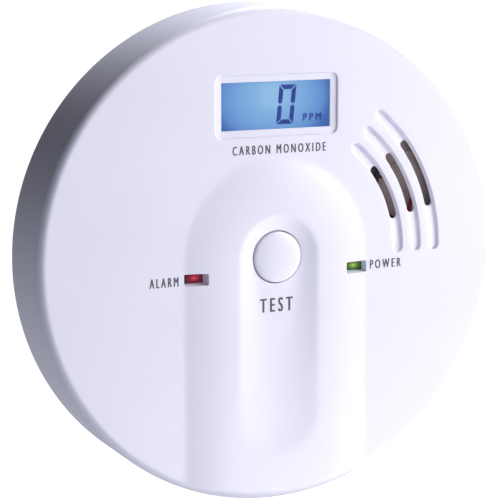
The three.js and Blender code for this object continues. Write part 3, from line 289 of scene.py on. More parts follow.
LAMPS = {
    "red_lamp": [
        (0.0, (1.0, 0.32, 0.42)),
        (0.16, (0.55, 0.02, 0.06)),
        (0.5, (0.16, 0.002, 0.015)),
        (1.0, (0.02, 0.0, 0.002)),
    ],
    "green_lamp": [
        (0.0, (0.80, 0.90, 0.22)),
        (0.2, (0.26, 0.45, 0.05)),
        (0.5, (0.04, 0.13, 0.015)),
        (1.0, (0.005, 0.03, 0.006)),
    ],
}


# ---- Mesh helpers ----


def in_frame(points):
    points = np.asarray(points, float)
    return np.column_stack([points[:, 0], -points[:, 2], points[:, 1]]) * MM


def linked(name, data):
    """A new object in the scene."""
    item = bpy.data.objects.new(name, data)
    bpy.context.scene.collection.objects.link(item)
    return item


def new_piece(name, mesh, body, node, material):
    """Puts a mesh into the scene, on its body, in place of its CAD node if it has one."""
    piece = linked(name, mesh)
    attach(piece, body)
    if node:
        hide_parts(node)
    mesh.materials.append(material)
    return piece


def solid(name, parts, body, node, material):
    """A piece from parts of (points, faces) in the layout, joined where their points meet."""
    mesh = bpy.data.meshes.new(name)
    shape = bmesh.new()
    for points, faces in parts:
        corners = [shape.verts.new(point) for point in in_frame(points)]
        for face in faces:
            shape.faces.new([corners[i] for i in face])
    bmesh.ops.remove_doubles(shape, verts=shape.verts, dist=1e-3 * MM)
    bmesh.ops.recalc_face_normals(shape, faces=shape.faces)
    shape.to_mesh(mesh)
    shape.free()
    shade(mesh)
    return new_piece(name, mesh, body, node, material)


def shade(mesh, smooth=SMOOTH_ANGLE):
    """Smooth shading, apart from the edges that are sharper than an angle."""
    mesh.shade_smooth()
    mesh.set_sharp_from_angle(angle=smooth)


def unit(angle):
    """Points at these angles on a circle of radius 1."""
    return np.column_stack([np.cos(angle), np.sin(angle)])


def ring(radius, steps):
    return unit(np.linspace(0, 2 * math.pi, steps, endpoint=False)) * radius


def turned(profile, steps):
    """A profile of (radius, z) corners turned about the alarm's axis."""
    rows = [np.column_stack([ring(radius, steps), np.full(steps, z)]) for radius, z in profile]
    faces = []
    for row in range(len(profile) - 1):
        below = row * steps
        above = below + steps
        for i in range(steps):
            j = (i + 1) % steps
            corners = [below + i, below + j, above + j, above + i]
            if profile[row][0] == 0:
                corners.pop(1)
            elif profile[row + 1][0] == 0:
                corners.pop(2)
            faces.append(corners)
    return np.vstack(rows), faces


def arc(radius, z, size, start, end, steps):
    """Profile corners on a quarter or part of a circle; angles in degrees, outwards to +z."""
    angles = np.radians(np.linspace(start, end, steps + 1))
    return [(radius + size * math.cos(a), z + size * math.sin(a)) for a in angles]


def rounded(corners, radius, steps=4):
    """A profile with rounded corners between its two ends, as far as their sides allow."""
    most = 0.45  # of a side, so that the roundings of its two corners stay apart
    result = [corners[0]]
    for before, corner, after in zip(corners, corners[1:], corners[2:]):
        a, b, c = (np.array(p, float) for p in (before, corner, after))
        reach = min(radius, np.linalg.norm(a - b) * most, np.linalg.norm(c - b) * most)
        start = b + (a - b) / np.linalg.norm(a - b) * reach
        end = b + (c - b) / np.linalg.norm(c - b) * reach
        for t in np.linspace(0, 1, steps + 1):
            point = (1 - t) ** 2 * start + 2 * t * (1 - t) * b + t**2 * end
            result.append(tuple(point))
    return [*result, corners[-1]]


def plate(outline, holes, z):
    """A flat plate at z with holes."""
    loops = [outline, *holes]
    points, triangles = triangulated(loops, np.empty((0, 2)))
    centres = points[triangles].mean(axis=1)
    keep = np.ones(len(triangles), bool)
    for hole in holes:
        keep &= ~inside(hole, centres)
    keep &= inside(outline, centres)
    return np.column_stack([points, np.full(len(points), z)]), triangles[keep]


def wall(outline, low, high, upper=None):
    """A strip between two heights along an outline, or up to another outline of as many points."""
    count = len(outline)
    ends = ((outline, low), (outline if upper is None else upper, high))
    points = np.vstack([np.column_stack([line, np.full(count, z)]) for line, z in ends])
    faces = [(i, (i + 1) % count, (i + 1) % count + count, i + count) for i in range(count)]
    return points, faces


def inside(outline, points):
    """True for each point that lies within an outline."""
    result = np.zeros(len(points), bool)
    for (ax, ay), (bx, by) in zip(outline, np.roll(outline, -1, axis=0)):
        crosses = (ay > points[:, 1]) != (by > points[:, 1])
        rise = by - ay if by != ay else 1.0
        at = ax + (points[:, 1] - ay) / rise * (bx - ax)
        result ^= crosses & (points[:, 0] < at)
    return result


def triangulated(loops, points):
    """Triangles through closed loops, which stay as edges, and through loose points."""
    corners = [Vector(p) for loop in loops for p in loop] + [Vector(p) for p in points]
    edges = []
    start = 0
    for loop in loops:
        count = len(loop)
        edges += [(start + i, start + (i + 1) % count) for i in range(count)]
        start += count
    result = delaunay_2d_cdt(corners, edges, [], 0, 1e-5, False)
    return np.array([tuple(v) for v in result[0]]), np.array([tuple(f) for f in result[2]])


# ---- Front cover: height of the face and its cuts ----


def smooth_min(a, b, reach):
    """The lower of two heights, blended where they are closer than reach."""
    share = np.clip(0.5 + 0.5 * (b - a) / reach, 0, 1)
    return b + (a - b) * share - reach * share * (1 - share)


def smooth_max(a, b, reach):
    return -smooth_min(-a, -b, reach)


def rim_height(radius, size):
    """Height of a rim rounding of this size, which starts at the same height on the side."""
    over = np.clip(radius - (RADIUS - size), 0, size)
    return FACE - RIM_ROUND + np.sqrt(size**2 - over**2)


def face_height(x, y):
    """Height of the cover's face without its cuts."""
    radius = np.hypot(x, y)
    flat = rim_height(radius, RIM_ROUND)
    side = np.where(y > 0, radius, np.abs(x))
    climb = np.clip((side - SCOOP_RADIUS) / (RIDGE_RADIUS - SCOOP_RADIUS), 0, 2)
    ridge = FACE + RIDGE_HEIGHT * (1 - climb**2)
    ridge = smooth_min(ridge, rim_height(radius, RIM_ROUND + RIDGE_HEIGHT), CREST_BLEND)
    along = np.clip(-y / SCOOP_LENGTH, 0, 1)
    share = np.hypot(x, y + along * SCOOP_LENGTH) / SCOOP_RADIUS
    depth = SCOOP_DEPTH + (SCOOP_END_DEPTH - SCOOP_DEPTH) * along
    scoop = CREST - depth * (1 - share**2)
    height = smooth_max(flat, smooth_min(ridge, scoop, CREST_BLEND), FOOT_BLEND)
    return np.where(radius > RADIUS - 1e-4, FACE - RIM_ROUND, height)


class Cut(NamedTuple):
    """A pocket or hole: its floor's outline, the slope outside that, its floor and its lip."""

    distance: Callable  # from the floor's outline, positive outside it
    outline: Callable  # the loop at a distance outside the floor's outline
    slope: float
    floor: float
    lip: float
    through: bool


def round_cut(radius, **sizes):
    return Cut(
        distance=lambda x, y: np.hypot(x, y) - radius,
        outline=lambda offset: ring(radius + offset, HOLE_STEPS),
        **sizes,
    )


BOX_CORNERS = np.array([(1, 1), (-1, 1), (-1, -1), (1, -1)])


def box_outline(centre, size, offset=0):
    """A rectangle with sharp corners, moved outwards by an offset."""
    corners = BOX_CORNERS * (np.array(size) / 2) + centre[:2]
    return fine(corners + BOX_CORNERS * offset, OUTLINE_PITCH)


def box_cut(centre, size, **sizes):
    """A cut with a rectangular floor, whose corners get rounder towards its mouth."""
    half = np.array(size) / 2

    def distance(x, y):
        across = np.abs(x - centre[0]) - half[0]
        along = np.abs(y - centre[1]) - half[1]
        outside = np.hypot(np.maximum(across, 0), np.maximum(along, 0))
        return outside + np.minimum(np.maximum(across, along), 0)

    def outline(offset):
        if offset <= DRAFT:
            return box_outline(centre, size, offset)
        points = []
        for turn, corner in enumerate(BOX_CORNERS * half + centre[:2]):
            angle = (turn + np.linspace(0, 1, 7)) * math.pi / 2
            points.append(corner + unit(angle) * offset)
        return fine(np.vstack(points), OUTLINE_PITCH)

    return Cut(distance=distance, outline=outline, **sizes)


def arc_cut(radius, half_width, angles, **sizes):
    """A cut along an arc about the alarm's middle, with round ends."""
    start, end = np.radians(angles)

    def distance(x, y):
        nearest = np.clip(np.arctan2(y, x), start, end)
        gap = np.hypot(x - radius * np.cos(nearest), y - radius * np.sin(nearest))
        return gap - half_width

    def outline(offset):
        half = half_width + offset
        outer = unit(np.linspace(start, end, ARC_STEPS))
        far = cap(radius, half, end, end)
        near = cap(radius, half, start, start + math.pi)
        return np.vstack([outer * (radius + half), far, outer[::-1] * (radius - half), near])

    return Cut(distance=distance, outline=outline, **sizes)


def cap(radius, half, at, turn):
    """The round end of a curved slot, without its first and last point."""
    angle = turn + np.linspace(0, math.pi, 13)[1:-1]
    centre = np.array([math.cos(at), math.sin(at)]) * radius
    return unit(angle) * half + centre


def fine(corners, step):
    """A closed outline with points along its straight sides."""
    points = []
    for a, b in zip(corners, np.roll(corners, -1, axis=0)):
        count = max(1, round(np.linalg.norm(b - a) / step))
        points += [a + (b - a) * i / count for i in range(count)]
    return np.array(points)


def sunk(z, cut, x, y):
    """The height z with a cut in it: a quarter round lip, then the slope, then the floor."""
    away = cut.distance(x, y)
    lip = np.clip(1 - (away - cut.slope) / cut.lip, 0, 1)
    z = z - cut.lip * (1 - np.sqrt(1 - lip**2))
    return cut.floor + (z - cut.floor) * np.clip(away / cut.slope, 0, 1)


def cover_cuts():
    display = middle("display_lens")
    bezel = dict(slope=BEZEL_SLOPE, floor=FACE - BEZEL_DEPTH, lip=0.5, through=False)
    window = dict(slope=DRAFT, floor=LENS_SEAT, lip=0.08, through=True)
    lamp_window = dict(slope=LED_WINDOW_SLOPE, floor=INSIDE, lip=0.1, through=True)
    groove = dict(slope=GROOVE_SLOPE, floor=FACE - GROOVE_DEPTH, lip=0.25, through=False)
    slot = dict(slope=DRAFT, floor=SLOT_EDGE, lip=0.03, through=True)
    cuts = [
        round_cut(BUTTON_HOLE, slope=DRAFT, floor=INSIDE, lip=0.3, through=True),
        box_cut(display, WINDOW, **bezel),
        box_cut(display, WINDOW, **window),
    ]
    for node in ("alarm_led_red", "power_led_green"):
        cuts.append(box_cut(middle(node), LED_WINDOW, **lamp_window))
    for radius in GROOVE_RADII:
        cuts.append(arc_cut(radius, GROOVE_HALF_WIDTH, GROOVE_ANGLES, **groove))
        cuts.append(arc_cut(radius, SLOT_HALF_WIDTH, SLOT_ANGLES, **slot))
    return cuts


def openings(cuts, floor):
    """The cuts that go through the cover's skin and end at this height."""
    return [cut for cut in cuts if cut.through and cut.floor == floor]


def cut_loops(cut):
    """Loops round a cut wherever its height changes quickly."""
    offsets = [0.0]
    for i in range(LIP_STEPS + 1):
        offsets.append(cut.slope + cut.lip * (1 - math.sin(math.pi / 2 * i / LIP_STEPS)))
    if cut.slope > WIDE_SLOPE:
        offsets += [cut.slope * share for share in SLOPE_SHARES]
    return [cut.outline(offset) for offset in sorted(offsets)]


def face_points():
    """Loose points that follow the rim, the ridge and the scoop, and thin out on the flat face."""
    outer = RIM_ROUND + RIDGE_HEIGHT
    inner = RADIUS - outer
    points = []
    for i in range(1, RIM_ROWS):
        radius = inner + outer * math.sin(math.pi / 2 * i / RIM_ROWS)
        points.append(ring(radius, RIM_STEPS))
    row_share = math.sqrt(3) / 2  # the rows of a grid of equal triangles, in its pitch
    steps = int(RADIUS / FACE_PITCH / row_share) + 1
    for row in range(-steps, steps + 1):
        x = np.arange(-RADIUS, RADIUS, FACE_PITCH) + (row % 2) * FACE_PITCH / 2
        y = np.full(len(x), row * FACE_PITCH * row_share)
        flat = arch_distance(x, y) > RIDGE_RADIUS + FACE_GAP
        keep = (np.hypot(x, y) < inner) & flat
        points.append(np.column_stack([x, y])[keep])
    slope = np.arange(SCOOP_EDGE[1], RIDGE_FOOT[0], WIDE_ROWS)
    foot = np.arange(*RIDGE_FOOT, CLOSE_ROWS)
    edge = np.arange(*SCOOP_EDGE, CLOSE_ROWS)
    for side in (*slope, *foot, *edge):
        points.append(arch(side, inner))
    for share in (*np.arange(*SCOOP_SHARES), 1):
        points.append(oblong(SCOOP_RADIUS * share))
    x = np.arange(-LOWER_RIDGE, LOWER_RIDGE + RIDGE_PITCH / 2, RIDGE_PITCH)
    for y in np.arange(-SCOOP_LENGTH - SCOOP_RADIUS, -inner, -WIDE_ROWS):
        points.append(np.column_stack([x, np.full(len(x), y)]))
    return np.vstack(points)


def arch_distance(x, y):
    """Distance from the ridge's middle line, which ends at the button."""
    return np.where(y > 0, np.hypot(x, y), np.abs(x))


def half_turn(side, fewest, pitch):
    """Points on the upper half of a circle about the button."""
    angle = np.linspace(0, math.pi, max(fewest, int(side * math.pi / pitch)))
    return unit(angle) * side


def legs(side, length, pitch):
    """Points down both sides of the ridge's middle line."""
    y = -np.arange(pitch, length, pitch)
    left = np.column_stack([np.full(len(y), -side), y])
    right = np.column_stack([np.full(len(y), side), y])
    return [left, right]


def arch(side, inner):
    """Points along the ridge at a distance from its middle line, as far as the rim rounding."""
    length = math.sqrt(inner**2 - side**2)
    return np.vstack([half_turn(side, 24, RIDGE_PITCH), *legs(side, length, RIDGE_PITCH)])


def oblong(side):
    """Points along the scoop at a distance from its middle line."""
    top = half_turn(side, 8, SCOOP_PITCH)
    bottom = top * (1, -1) - (0, SCOOP_LENGTH)
    return np.vstack([top, bottom, *legs(side, SCOOP_LENGTH, SCOOP_PITCH)])


def cover_height(x, y, cuts):
    """Height of the cover's face with its cuts."""
    z = face_height(x, y)
    for cut in cuts:
        z = sunk(z, cut, x, y)
    return z


def cover_skin(cuts):
    """The cover's outer face, from its middle to the edge of its side wall."""
    loops = [loop for cut in cuts for loop in cut_loops(cut)]
    loose = face_points()
    clear = np.ones(len(loose), bool)
    for cut in cuts:
        away = cut.distance(loose[:, 0], loose[:, 1])
        on_floor = (away < -FLOOR_CLEARANCE) & (not cut.through)
        clear &= (away > cut.slope + cut.lip + LIP_CLEARANCE) | on_floor
        if cut.slope > WIDE_SLOPE:
            clear |= (away > FLOOR_CLEARANCE) & (away < cut.slope - FLOOR_CLEARANCE)
    loose = loose[clear]
    points, triangles = triangulated([ring(RADIUS, RIM_STEPS), *loops], loose)
    centres = points[triangles].mean(axis=1)
    open_to = np.zeros(len(triangles), bool)
    for cut in cuts:
        if cut.through:
            open_to |= cut.distance(centres[:, 0], centres[:, 1]) < 0
    z = cover_height(points[:, 0], points[:, 1], cuts)
    return np.column_stack([points, z]), triangles[~open_to]


def cover_inside(cuts):
    """The inner face, with the pocket of the display's lens and the slots' wider parts."""
    seat = box_outline(middle("display_lens"), (lens_high - lens_low)[:2] + 2 * LENS_PLAY)
    [window] = openings(cuts, LENS_SEAT)
    slots = openings(cuts, SLOT_EDGE)
    holes = [cut.outline(0) for cut in openings(cuts, INSIDE)]
    flares = [cut.outline(SLOT_FLARE) for cut in slots]
    outer = ring(RADIUS - SIDE_WALL - INNER_CHAMFER, RIM_STEPS)
    parts = [
        plate(outer, [*holes, *flares, seat], INSIDE),
        plate(seat, [window.outline(0)], LENS_SEAT),
        wall(seat, INSIDE, LENS_SEAT),
    ]
    for flare, cut in zip(flares, slots):
        parts.append(wall(flare, INSIDE, SLOT_EDGE, cut.outline(0)))
    return parts


def cover_side():
    """The side wall, outside and inside, down to its rounded back edge."""
    inner = RADIUS - SIDE_WALL
    heights = np.linspace(FACE - RIM_ROUND, BACK_EDGE + BACK_ROUND, SIDE_ROWS)
    profile = [(RADIUS, z) for z in heights]
    profile += arc(RADIUS - BACK_ROUND, BACK_EDGE + BACK_ROUND, BACK_ROUND, 0, -90, 4)[1:]
    profile += [(inner, BACK_EDGE), (inner, INSIDE - INNER_CHAMFER)]
    profile += [(inner - INNER_CHAMFER, INSIDE)]
    return turned(profile, RIM_STEPS)


def build_cover():
    cuts = cover_cuts()
    parts = [cover_skin(cuts), cover_side(), *cover_inside(cuts)]
    solid("cover_front", parts, "head", "front_cover", finish("housing_plastic"))


# ---- Button, lamps and display ----


def build_button():
    """A domed cap, open behind, with a flange and a stem that reaches the switch."""
    flange = button_high[0]
    back = button_low[2]
    top = button_high[2]
    ceiling = FLANGE_TOP + CAP_CEILING
    profile = []
    for share in np.arange(DOME_ROWS) / DOME_ROWS:
        radius = BUTTON_CAP * DOME_SHARE * share
        profile.append((radius, top - DOME_DROP * share**DOME_CURVE))
    edge_height = top - BUTTON_CROWN - CAP_EDGE_DROP
    profile += arc(BUTTON_CAP - CAP_EDGE, edge_height, CAP_EDGE, 68, 0, 8)
    behind = [
        (BUTTON_CAP, FLANGE_TOP + 0.4),
        (BUTTON_CAP, FLANGE_TOP),
        (flange, FLANGE_TOP),
        (flange, FLANGE_LOW),
        (BUTTON_CAP - CAP_WALL, FLANGE_LOW),
        (BUTTON_CAP - CAP_WALL, ceiling),
        (STEM_RADIUS, ceiling),
        (STEM_RADIUS, back),
        (0, back),
    ]
    profile += rounded(behind, CAP_CREASE)
    cap_shape = turned(profile, BUTTON_STEPS)
    solid("button_cap", [cap_shape], "button", "test_button", finish("button_plastic"))


def build_led(node):
    """A lamp with a flat lens that has softly rounded edges, on a wider foot."""
    slot = SLOTS[node]
    low, high = span(node)
    step, foot_height = LAMP_FOOT
    foot_top = low[2] + foot_height
    rings = [(0, low[2]), (0, foot_top), (step, foot_top), (step, high[2] - LAMP_CROWN)]
    for angle in np.radians(np.linspace(15, 90, 6)):
        inset = step + LAMP_CROWN * (1 - math.cos(angle))
        rings.append((inset, high[2] - LAMP_CROWN * (1 - math.sin(angle))))
    outlines = [rounded_box(low, high, inset, LAMP_CORNER) for inset, _ in rings]
    parts = []
    for (_, z), (_, above), outline, upper in zip(rings, rings[1:], outlines, outlines[1:]):
        parts.append(wall(outline, z, above, upper))
    parts.append(plate(outlines[0], [], low[2]))
    parts.append(plate(outlines[-1], [], high[2]))
    solid(f"lamp_{slot}", parts, "head", node, finish(slot))


def rounded_box(low, high, inset, radius):
    """A rectangle between two corners, moved inwards, with round corners."""
    points = []
    for turn, (x, y) in enumerate([(1, 1), (0, 1), (0, 0), (1, 0)]):
        outwards = np.array([x, y]) * 2 - 1
        corner = np.where((x, y), high[:2], low[:2]) - outwards * (inset + radius)
        angle = (turn + np.linspace(0, 1, 5)) * math.pi / 2
        points.append(corner + unit(angle) * radius)
    return np.vstack(points)


def build_lens():
    """The display's clear window, with a small bevel."""
    shape = plate_block(lens_low, lens_high, LENS_BEVEL)
    solid("display_window", [shape], "head", "display_lens", finish("display_lens"))


def plate_block(low, high, bevel):
    """A block whose front and back edges have a small bevel."""
    rows = []
    back = [(bevel, low[2]), (0, low[2] + bevel)]
    front = [(0, high[2] - bevel), (bevel, high[2])]
    for inset, z in back + front:
        x0, y0 = low[:2] + inset
        x1, y1 = high[:2] - inset
        rows += [(x0, y0, z), (x1, y0, z), (x1, y1, z), (x0, y1, z)]
    faces = [(3, 2, 1, 0), (12, 13, 14, 15)]
    for start in (0, 4, 8):
        for i in range(4):
            j = (i + 1) % 4
            faces.append((start + i, start + j, start + j + 4, start + i + 4))
    return np.array(rows), faces


def build_lcd():
    shape = plate_block(lcd_low, lcd_high, PANEL_BEVEL)
    solid("display_panel", [shape], "head", "lcd_panel", finish("lcd"))


# ---- Springs and cells ----


def swept(path, radius):
    """A round wire along a path of points, closed by a dome at each end."""
    path = np.asarray(path, float)
    sides = WIRE_SIDES
    angle = np.linspace(0, 2 * math.pi, sides, endpoint=False)[:, None]
    along = np.gradient(path, axis=0)
    along /= np.linalg.norm(along, axis=1)[:, None]
    slanting = (0.3, 0.5, 0.8)  # no wire starts along it
    across = np.cross(along[0], slanting)
    rows = []
    for i, (point, forward) in enumerate(zip(path, along)):
        across = across - forward * across.dot(forward)
        across /= np.linalg.norm(across)
        other = np.cross(forward, across)
        for share, reach in end_rings(i, len(path)):
            centre = point + forward * reach * radius
            outwards = np.cos(angle) * across + np.sin(angle) * other
            rows.append(centre + outwards * radius * share)
    faces = []
    for row in range(len(rows) - 1):
        for i in range(sides):
            j = (i + 1) % sides
            start = row * sides
            faces.append((start + i, start + j, start + j + sides, start + i + sides))
    last = (len(rows) - 1) * sides
    faces += [tuple(range(sides)), tuple(range(last + sides - 1, last - 1, -1))]
    return np.vstack(rows), faces


def end_rings(i, count):
    """The rings of a wire at one point of its path: (share of its radius, reach along it)."""
    dome = [(math.cos(math.radians(a)), math.sin(math.radians(a))) for a in (20, 45, 70)]
    if i == 0:
        return [(share, -reach) for share, reach in reversed(dome)] + [(1, 0)]
    if i == count - 1:
        return [(1, 0), *dome]
    return [(1, 0)]


def coil_path(low, high, radii, turns, wire):
    """A compression spring's path, with a flat closing turn at each end."""
    angle = np.linspace(0, turns * 2 * math.pi, int(turns * COIL_STEPS))
    share = angle / angle[-1]
    closing = CLOSING_TURNS / turns
    closed = wire * CLOSING_PITCH * CLOSING_TURNS
    rise = np.clip((share - closing) / (1 - 2 * closing), 0, 1)
    rise = rise * rise * (3 - 2 * rise)
    height = low + closed * np.clip(share / closing, 0, 1)
    height += rise * (high - low - 2 * closed)
    height += closed * np.clip((share - 1 + closing) / closing, 0, 1)
    radius = radii[0] + (radii[1] - radii[0]) * share
    return np.column_stack([np.cos(angle) * radius, np.sin(angle) * radius, height])


def build_button_spring():
    """The coil under the button, on a mesh of its own."""
    low, high = span("button_return_spring")
    wire = BUTTON_WIRE
    radius = high[0] - wire
    path = coil_path(low[2] + wire, high[2] - wire, (radius, radius), BUTTON_TURNS, wire)
    coil = [swept(path, wire)]
    steel = finish("spring_steel")
    spring = solid("button_spring", coil, "head", "button_return_spring", steel)
    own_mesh(spring)


def build_battery_springs():
    """Tapered coils that press on the cells' minus ends."""
    wire = BATTERY_WIRE
    for number in CELL_PLUS_SIDE:
        node = f"battery_spring_{number}"
        low, high = span(node)
        centre = (low + high) / 2
        outward = math.copysign(1, centre[0])
        radii = ((high[1] - low[1]) / 2 - wire, BATTERY_SPRING_TIP)
        length = high[0] - low[0] - 2 * wire
        path = coil_path(0, length, radii, BATTERY_TURNS, wire)
        base = high[0] - wire if outward > 0 else low[0] + wire
        lying = [(base - outward * z, centre[1] + y, centre[2] + x) for x, y, z in path]
        coil = [swept(lying, wire)]
        solid(f"cell_spring_{number}", coil, "head", node, finish("spring_steel"))


def cell_profile(radius, length):
    """A cell's (radius, z) corners, from its minus end to its nub."""
    nub_radius, nub_length = CELL_NUB
    shoulder = length - nub_length
    sleeve_end = shoulder - CELL_CRIMP
    corners = [
        (0, CELL_DISH),
        (radius - CELL_RIM[1], CELL_DISH),
        (radius - CELL_RIM[0], 0),
        (radius, 0),
        (radius, sleeve_end),
        (radius - CELL_SHOULDER[0], sleeve_end),
        (radius - CELL_SHOULDER[1], shoulder),
        (nub_radius + 0.3, shoulder),
        (nub_radius, shoulder + 0.2),
        (nub_radius, length),
        (0, length),
    ]
    return rounded(corners, CELL_ROUND)


def build_cells():
    """Battery cells with a crimped shoulder, a nub at the plus end and a rounded minus end."""
    for number, plus in CELL_PLUS_SIDE.items():
        node = f"battery_cell_{number}"
        low, high = span(node)
        centre = (low + high) / 2
        profile = cell_profile((high[1] - low[1]) / 2, high[0] - low[0])
        points, faces = turned(profile, CELL_STEPS)
        minus_end = low[0] if plus > 0 else high[0]
        x = minus_end + plus * points[:, 2]
        lying = np.column_stack([x, centre[1] + points[:, 0], centre[2] + points[:, 1]])
        material = finish("battery_sleeve" if plus > 0 else "battery_sleeve_turned")
        solid(f"cell_{number}", [(lying, faces)], "head", node, material)


# ---- Segments and printing ----


def build_digit():
    """A seven-segment zero, with mitred corners and its middle segment off."""
    w, h = DIGIT_WIDTH / 2, DIGIT_HEIGHT / 2
    stroke, gap = DIGIT_STROKE, DIGIT_GAP
    inner = w - stroke - gap
    bar = [(gap - w, h), (w - gap, h), (inner, h - stroke), (-inner, h - stroke)]
    side = [
        (w, h - gap),
        (w, stroke / 2),
        (w - stroke / 2, gap / 2),
        (w - stroke, stroke / 2),
        (w - stroke, h - stroke - gap),
    ]
    low, high = lcd_high[2] + DIGIT_LIFT[0], lcd_high[2] + DIGIT_LIFT[1]
    parts = []
    for shape, across in ((bar, 1), (side, 1), (side, -1)):
        for along in (1, -1):
            outline = np.array(shape) * (across, along)
            outline[:, 0] += outline[:, 1] * DIGIT_SLANT
            outline += DIGIT_PLACE
            parts += [wall(outline, low, high), plate(outline, [], low), plate(outline, [], high)]
    solid("display_digit", parts, "head", None, finish("lcd_ink"))


def text_mesh(text, height, width, bold):
    """A line of text as a flat mesh of this size, centred on its middle.

    Its strokes are made bold by joining two copies, one to each side.
    """
    curve = bpy.data.curves.new(text, "FONT")
    curve.body = text
    curve.resolution_u = 4
    curve.space_character = LETTER_SPACING
    holder = linked(text, curve)
    bpy.context.view_layer.update()
    evaluated = holder.evaluated_get(bpy.context.evaluated_depsgraph_get())
    thin = bpy.data.meshes.new_from_object(evaluated)
    bpy.data.objects.remove(holder)
    points = np.array([v.co for v in thin.vertices])[:, :2]
    low, high = points.min(axis=0), points.max(axis=0)
    bold *= height
    points = (points - (low + high) / 2) / (high - low) * (width - bold, height)
    patches = [
        points[list(face.vertices)] + (side * bold / 2, 0)
        for side in (-1, 1)
        for face in thin.polygons
    ]
    points, triangles = triangulated(patches, [])
    centres = points[triangles].mean(axis=1)
    filled = np.any([inside(patch, centres) for patch in patches], axis=0)
    mesh = bpy.data.meshes.new(text)
    mesh.from_pydata([(*point, 0) for point in points], [], triangles[filled].tolist())
    return mesh


def printed(name, label, surface, material, depth=INK_DEPTH, bold=BOLD):
    """Thin ink that follows a surface, given as a function from x and y to z."""
    text, centre, height, width = label
    mesh = text_mesh(text, height, width, bold)
    shape = bmesh.new()
    shape.from_mesh(mesh)
    bmesh.ops.remove_doubles(shape, verts=shape.verts, dist=1e-4)
    loose = [vertex for vertex in shape.verts if not vertex.link_faces]
    bmesh.ops.delete(shape, geom=loose, context="VERTS")
    bmesh.ops.subdivide_edges(shape, edges=shape.edges, cuts=2, use_grid_fill=True)
    top = list(shape.faces)
    made = bmesh.ops.extrude_face_region(shape, geom=top)
    raised = {v for v in made["geom"] if isinstance(v, bmesh.types.BMVert)}
    for vertex in shape.verts:
        x, y = vertex.co.x + centre[0], vertex.co.y + centre[1]
        lift = INK if vertex in raised else INK - depth
        z = float(surface(np.array(x), np.array(y))) + lift
        vertex.co = Vector(in_frame([(x, y, z)])[0])
    bmesh.ops.recalc_face_normals(shape, faces=shape.faces)
    shape.to_mesh(mesh)
    shape.free()
    mesh.name = name
    shade(mesh)
    new_piece(name, mesh, "head", None, material)


def build_printing():
    for name, label in LABELS.items():
        printed(name, label, face_height, finish("ink"))
    front = lcd_high[2] + UNIT_LIFT
    ink = finish("lcd_ink")
    printed("display_unit", UNIT, lambda x, y: front, ink, depth=UNIT_DEPTH, bold=UNIT_BOLD)


# ---- Materials ----


class Nodes:
    """A short way to write the node tree of a material or of the world."""

    def __init__(self, name, world=None):
        self.material = world or bpy.data.materials.new(name)
        self.material.use_nodes = True
        self.tree = self.material.node_tree
        self.tree.nodes.clear()
        self.output = self.add(f"ShaderNodeOutput{'World' if world else 'Material'}")

    def add(self, kind, inputs=None, **settings):
        """A node whose inputs are linked to sockets or set to values."""
        node = self.tree.nodes.new(kind)
        for key, value in settings.items():
            setattr(node, key, value)
        for key, value in (inputs or {}).items():
            socket = node.inputs[key]
            if isinstance(value, bpy.types.NodeSocket):
                self.tree.links.new(value, socket)
            else:
                socket.default_value = value
        return node

    def place(self):
        """Position on the object, in metres."""
        return self.add("ShaderNodeTexCoord").outputs["Object"]

    def axes(self, vector):
        split = self.add("ShaderNodeSeparateXYZ", {"Vector": vector})
        return [split.outputs[axis] for axis in "XYZ"]

    def maths(self, operation, *values):
        node = self.add("ShaderNodeMath", dict(enumerate(values)), operation=operation)
        return node.outputs[0]

    def vectors(self, operation, *values):
        return self.add("ShaderNodeVectorMath", dict(enumerate(values)), operation=operation)

    def noise(self, scale, detail=3.0, vector=None):
        where = vector or self.place()
        node = self.add("ShaderNodeTexNoise", {"Vector": where, "Scale": scale, "Detail": detail})
        return node.outputs["Fac"]

    def ramp(self, factor, stops):
        """Colours along a factor; stops are (position, colour)."""
        node = self.add("ShaderNodeValToRGB", {"Fac": factor})
        elements = node.color_ramp.elements
        while len(elements) < len(stops):
            elements.new(0.5)
        for element, (position, colour) in zip(elements, stops):
            element.position = position
            element.color = (*colour, 1)
        return node.outputs["Color"]

    def mapped(self, value, low, high, from_low=0.0, from_high=1.0):
        """A value moved from one range into another."""
        limits = {"From Min": from_low, "From Max": from_high, "To Min": low, "To Max": high}
        return self.add("ShaderNodeMapRange", {"Value": value, **limits}).outputs["Result"]

    def bump(self, height, distance, strength=0.5):
        node = self.add(
            "ShaderNodeBump", {"Height": height, "Distance": distance, "Strength": strength}
        )
        return node.outputs["Normal"]

    def principled(self, **inputs):
        values = {key.replace("_", " "): value for key, value in inputs.items()}
        shader = self.add("ShaderNodeBsdfPrincipled", values)
        self.tree.links.new(shader.outputs[0], self.output.inputs["Surface"])
        return self.material


def varied(colour, share):
    """A colour made darker or lighter by a share."""
    return tuple(max(0.0, min(1.0, c * share)) for c in colour)


def moulded(name, colour, roughness, grain=0.000012, coat=0.0):
    """Moulded plastic: faint flow marks in its colour, a fine grain and uneven gloss."""
    n = Nodes(name)
    flow = n.noise(28, 4)
    tint = n.ramp(flow, [(0.3, varied(colour, 0.975)), (0.7, varied(colour, 1.015))])
    gloss = n.mapped(n.noise(160, 2), roughness - 0.04, roughness + 0.05)
    fine_grain = n.noise(4200, 3)
    return n.principled(
        Base_Color=tint,
        Roughness=gloss,
        Normal=n.bump(fine_grain, grain, 0.35),
        Specular_IOR_Level=0.45,
        Coat_Weight=coat,
        Coat_Roughness=0.25,
    )


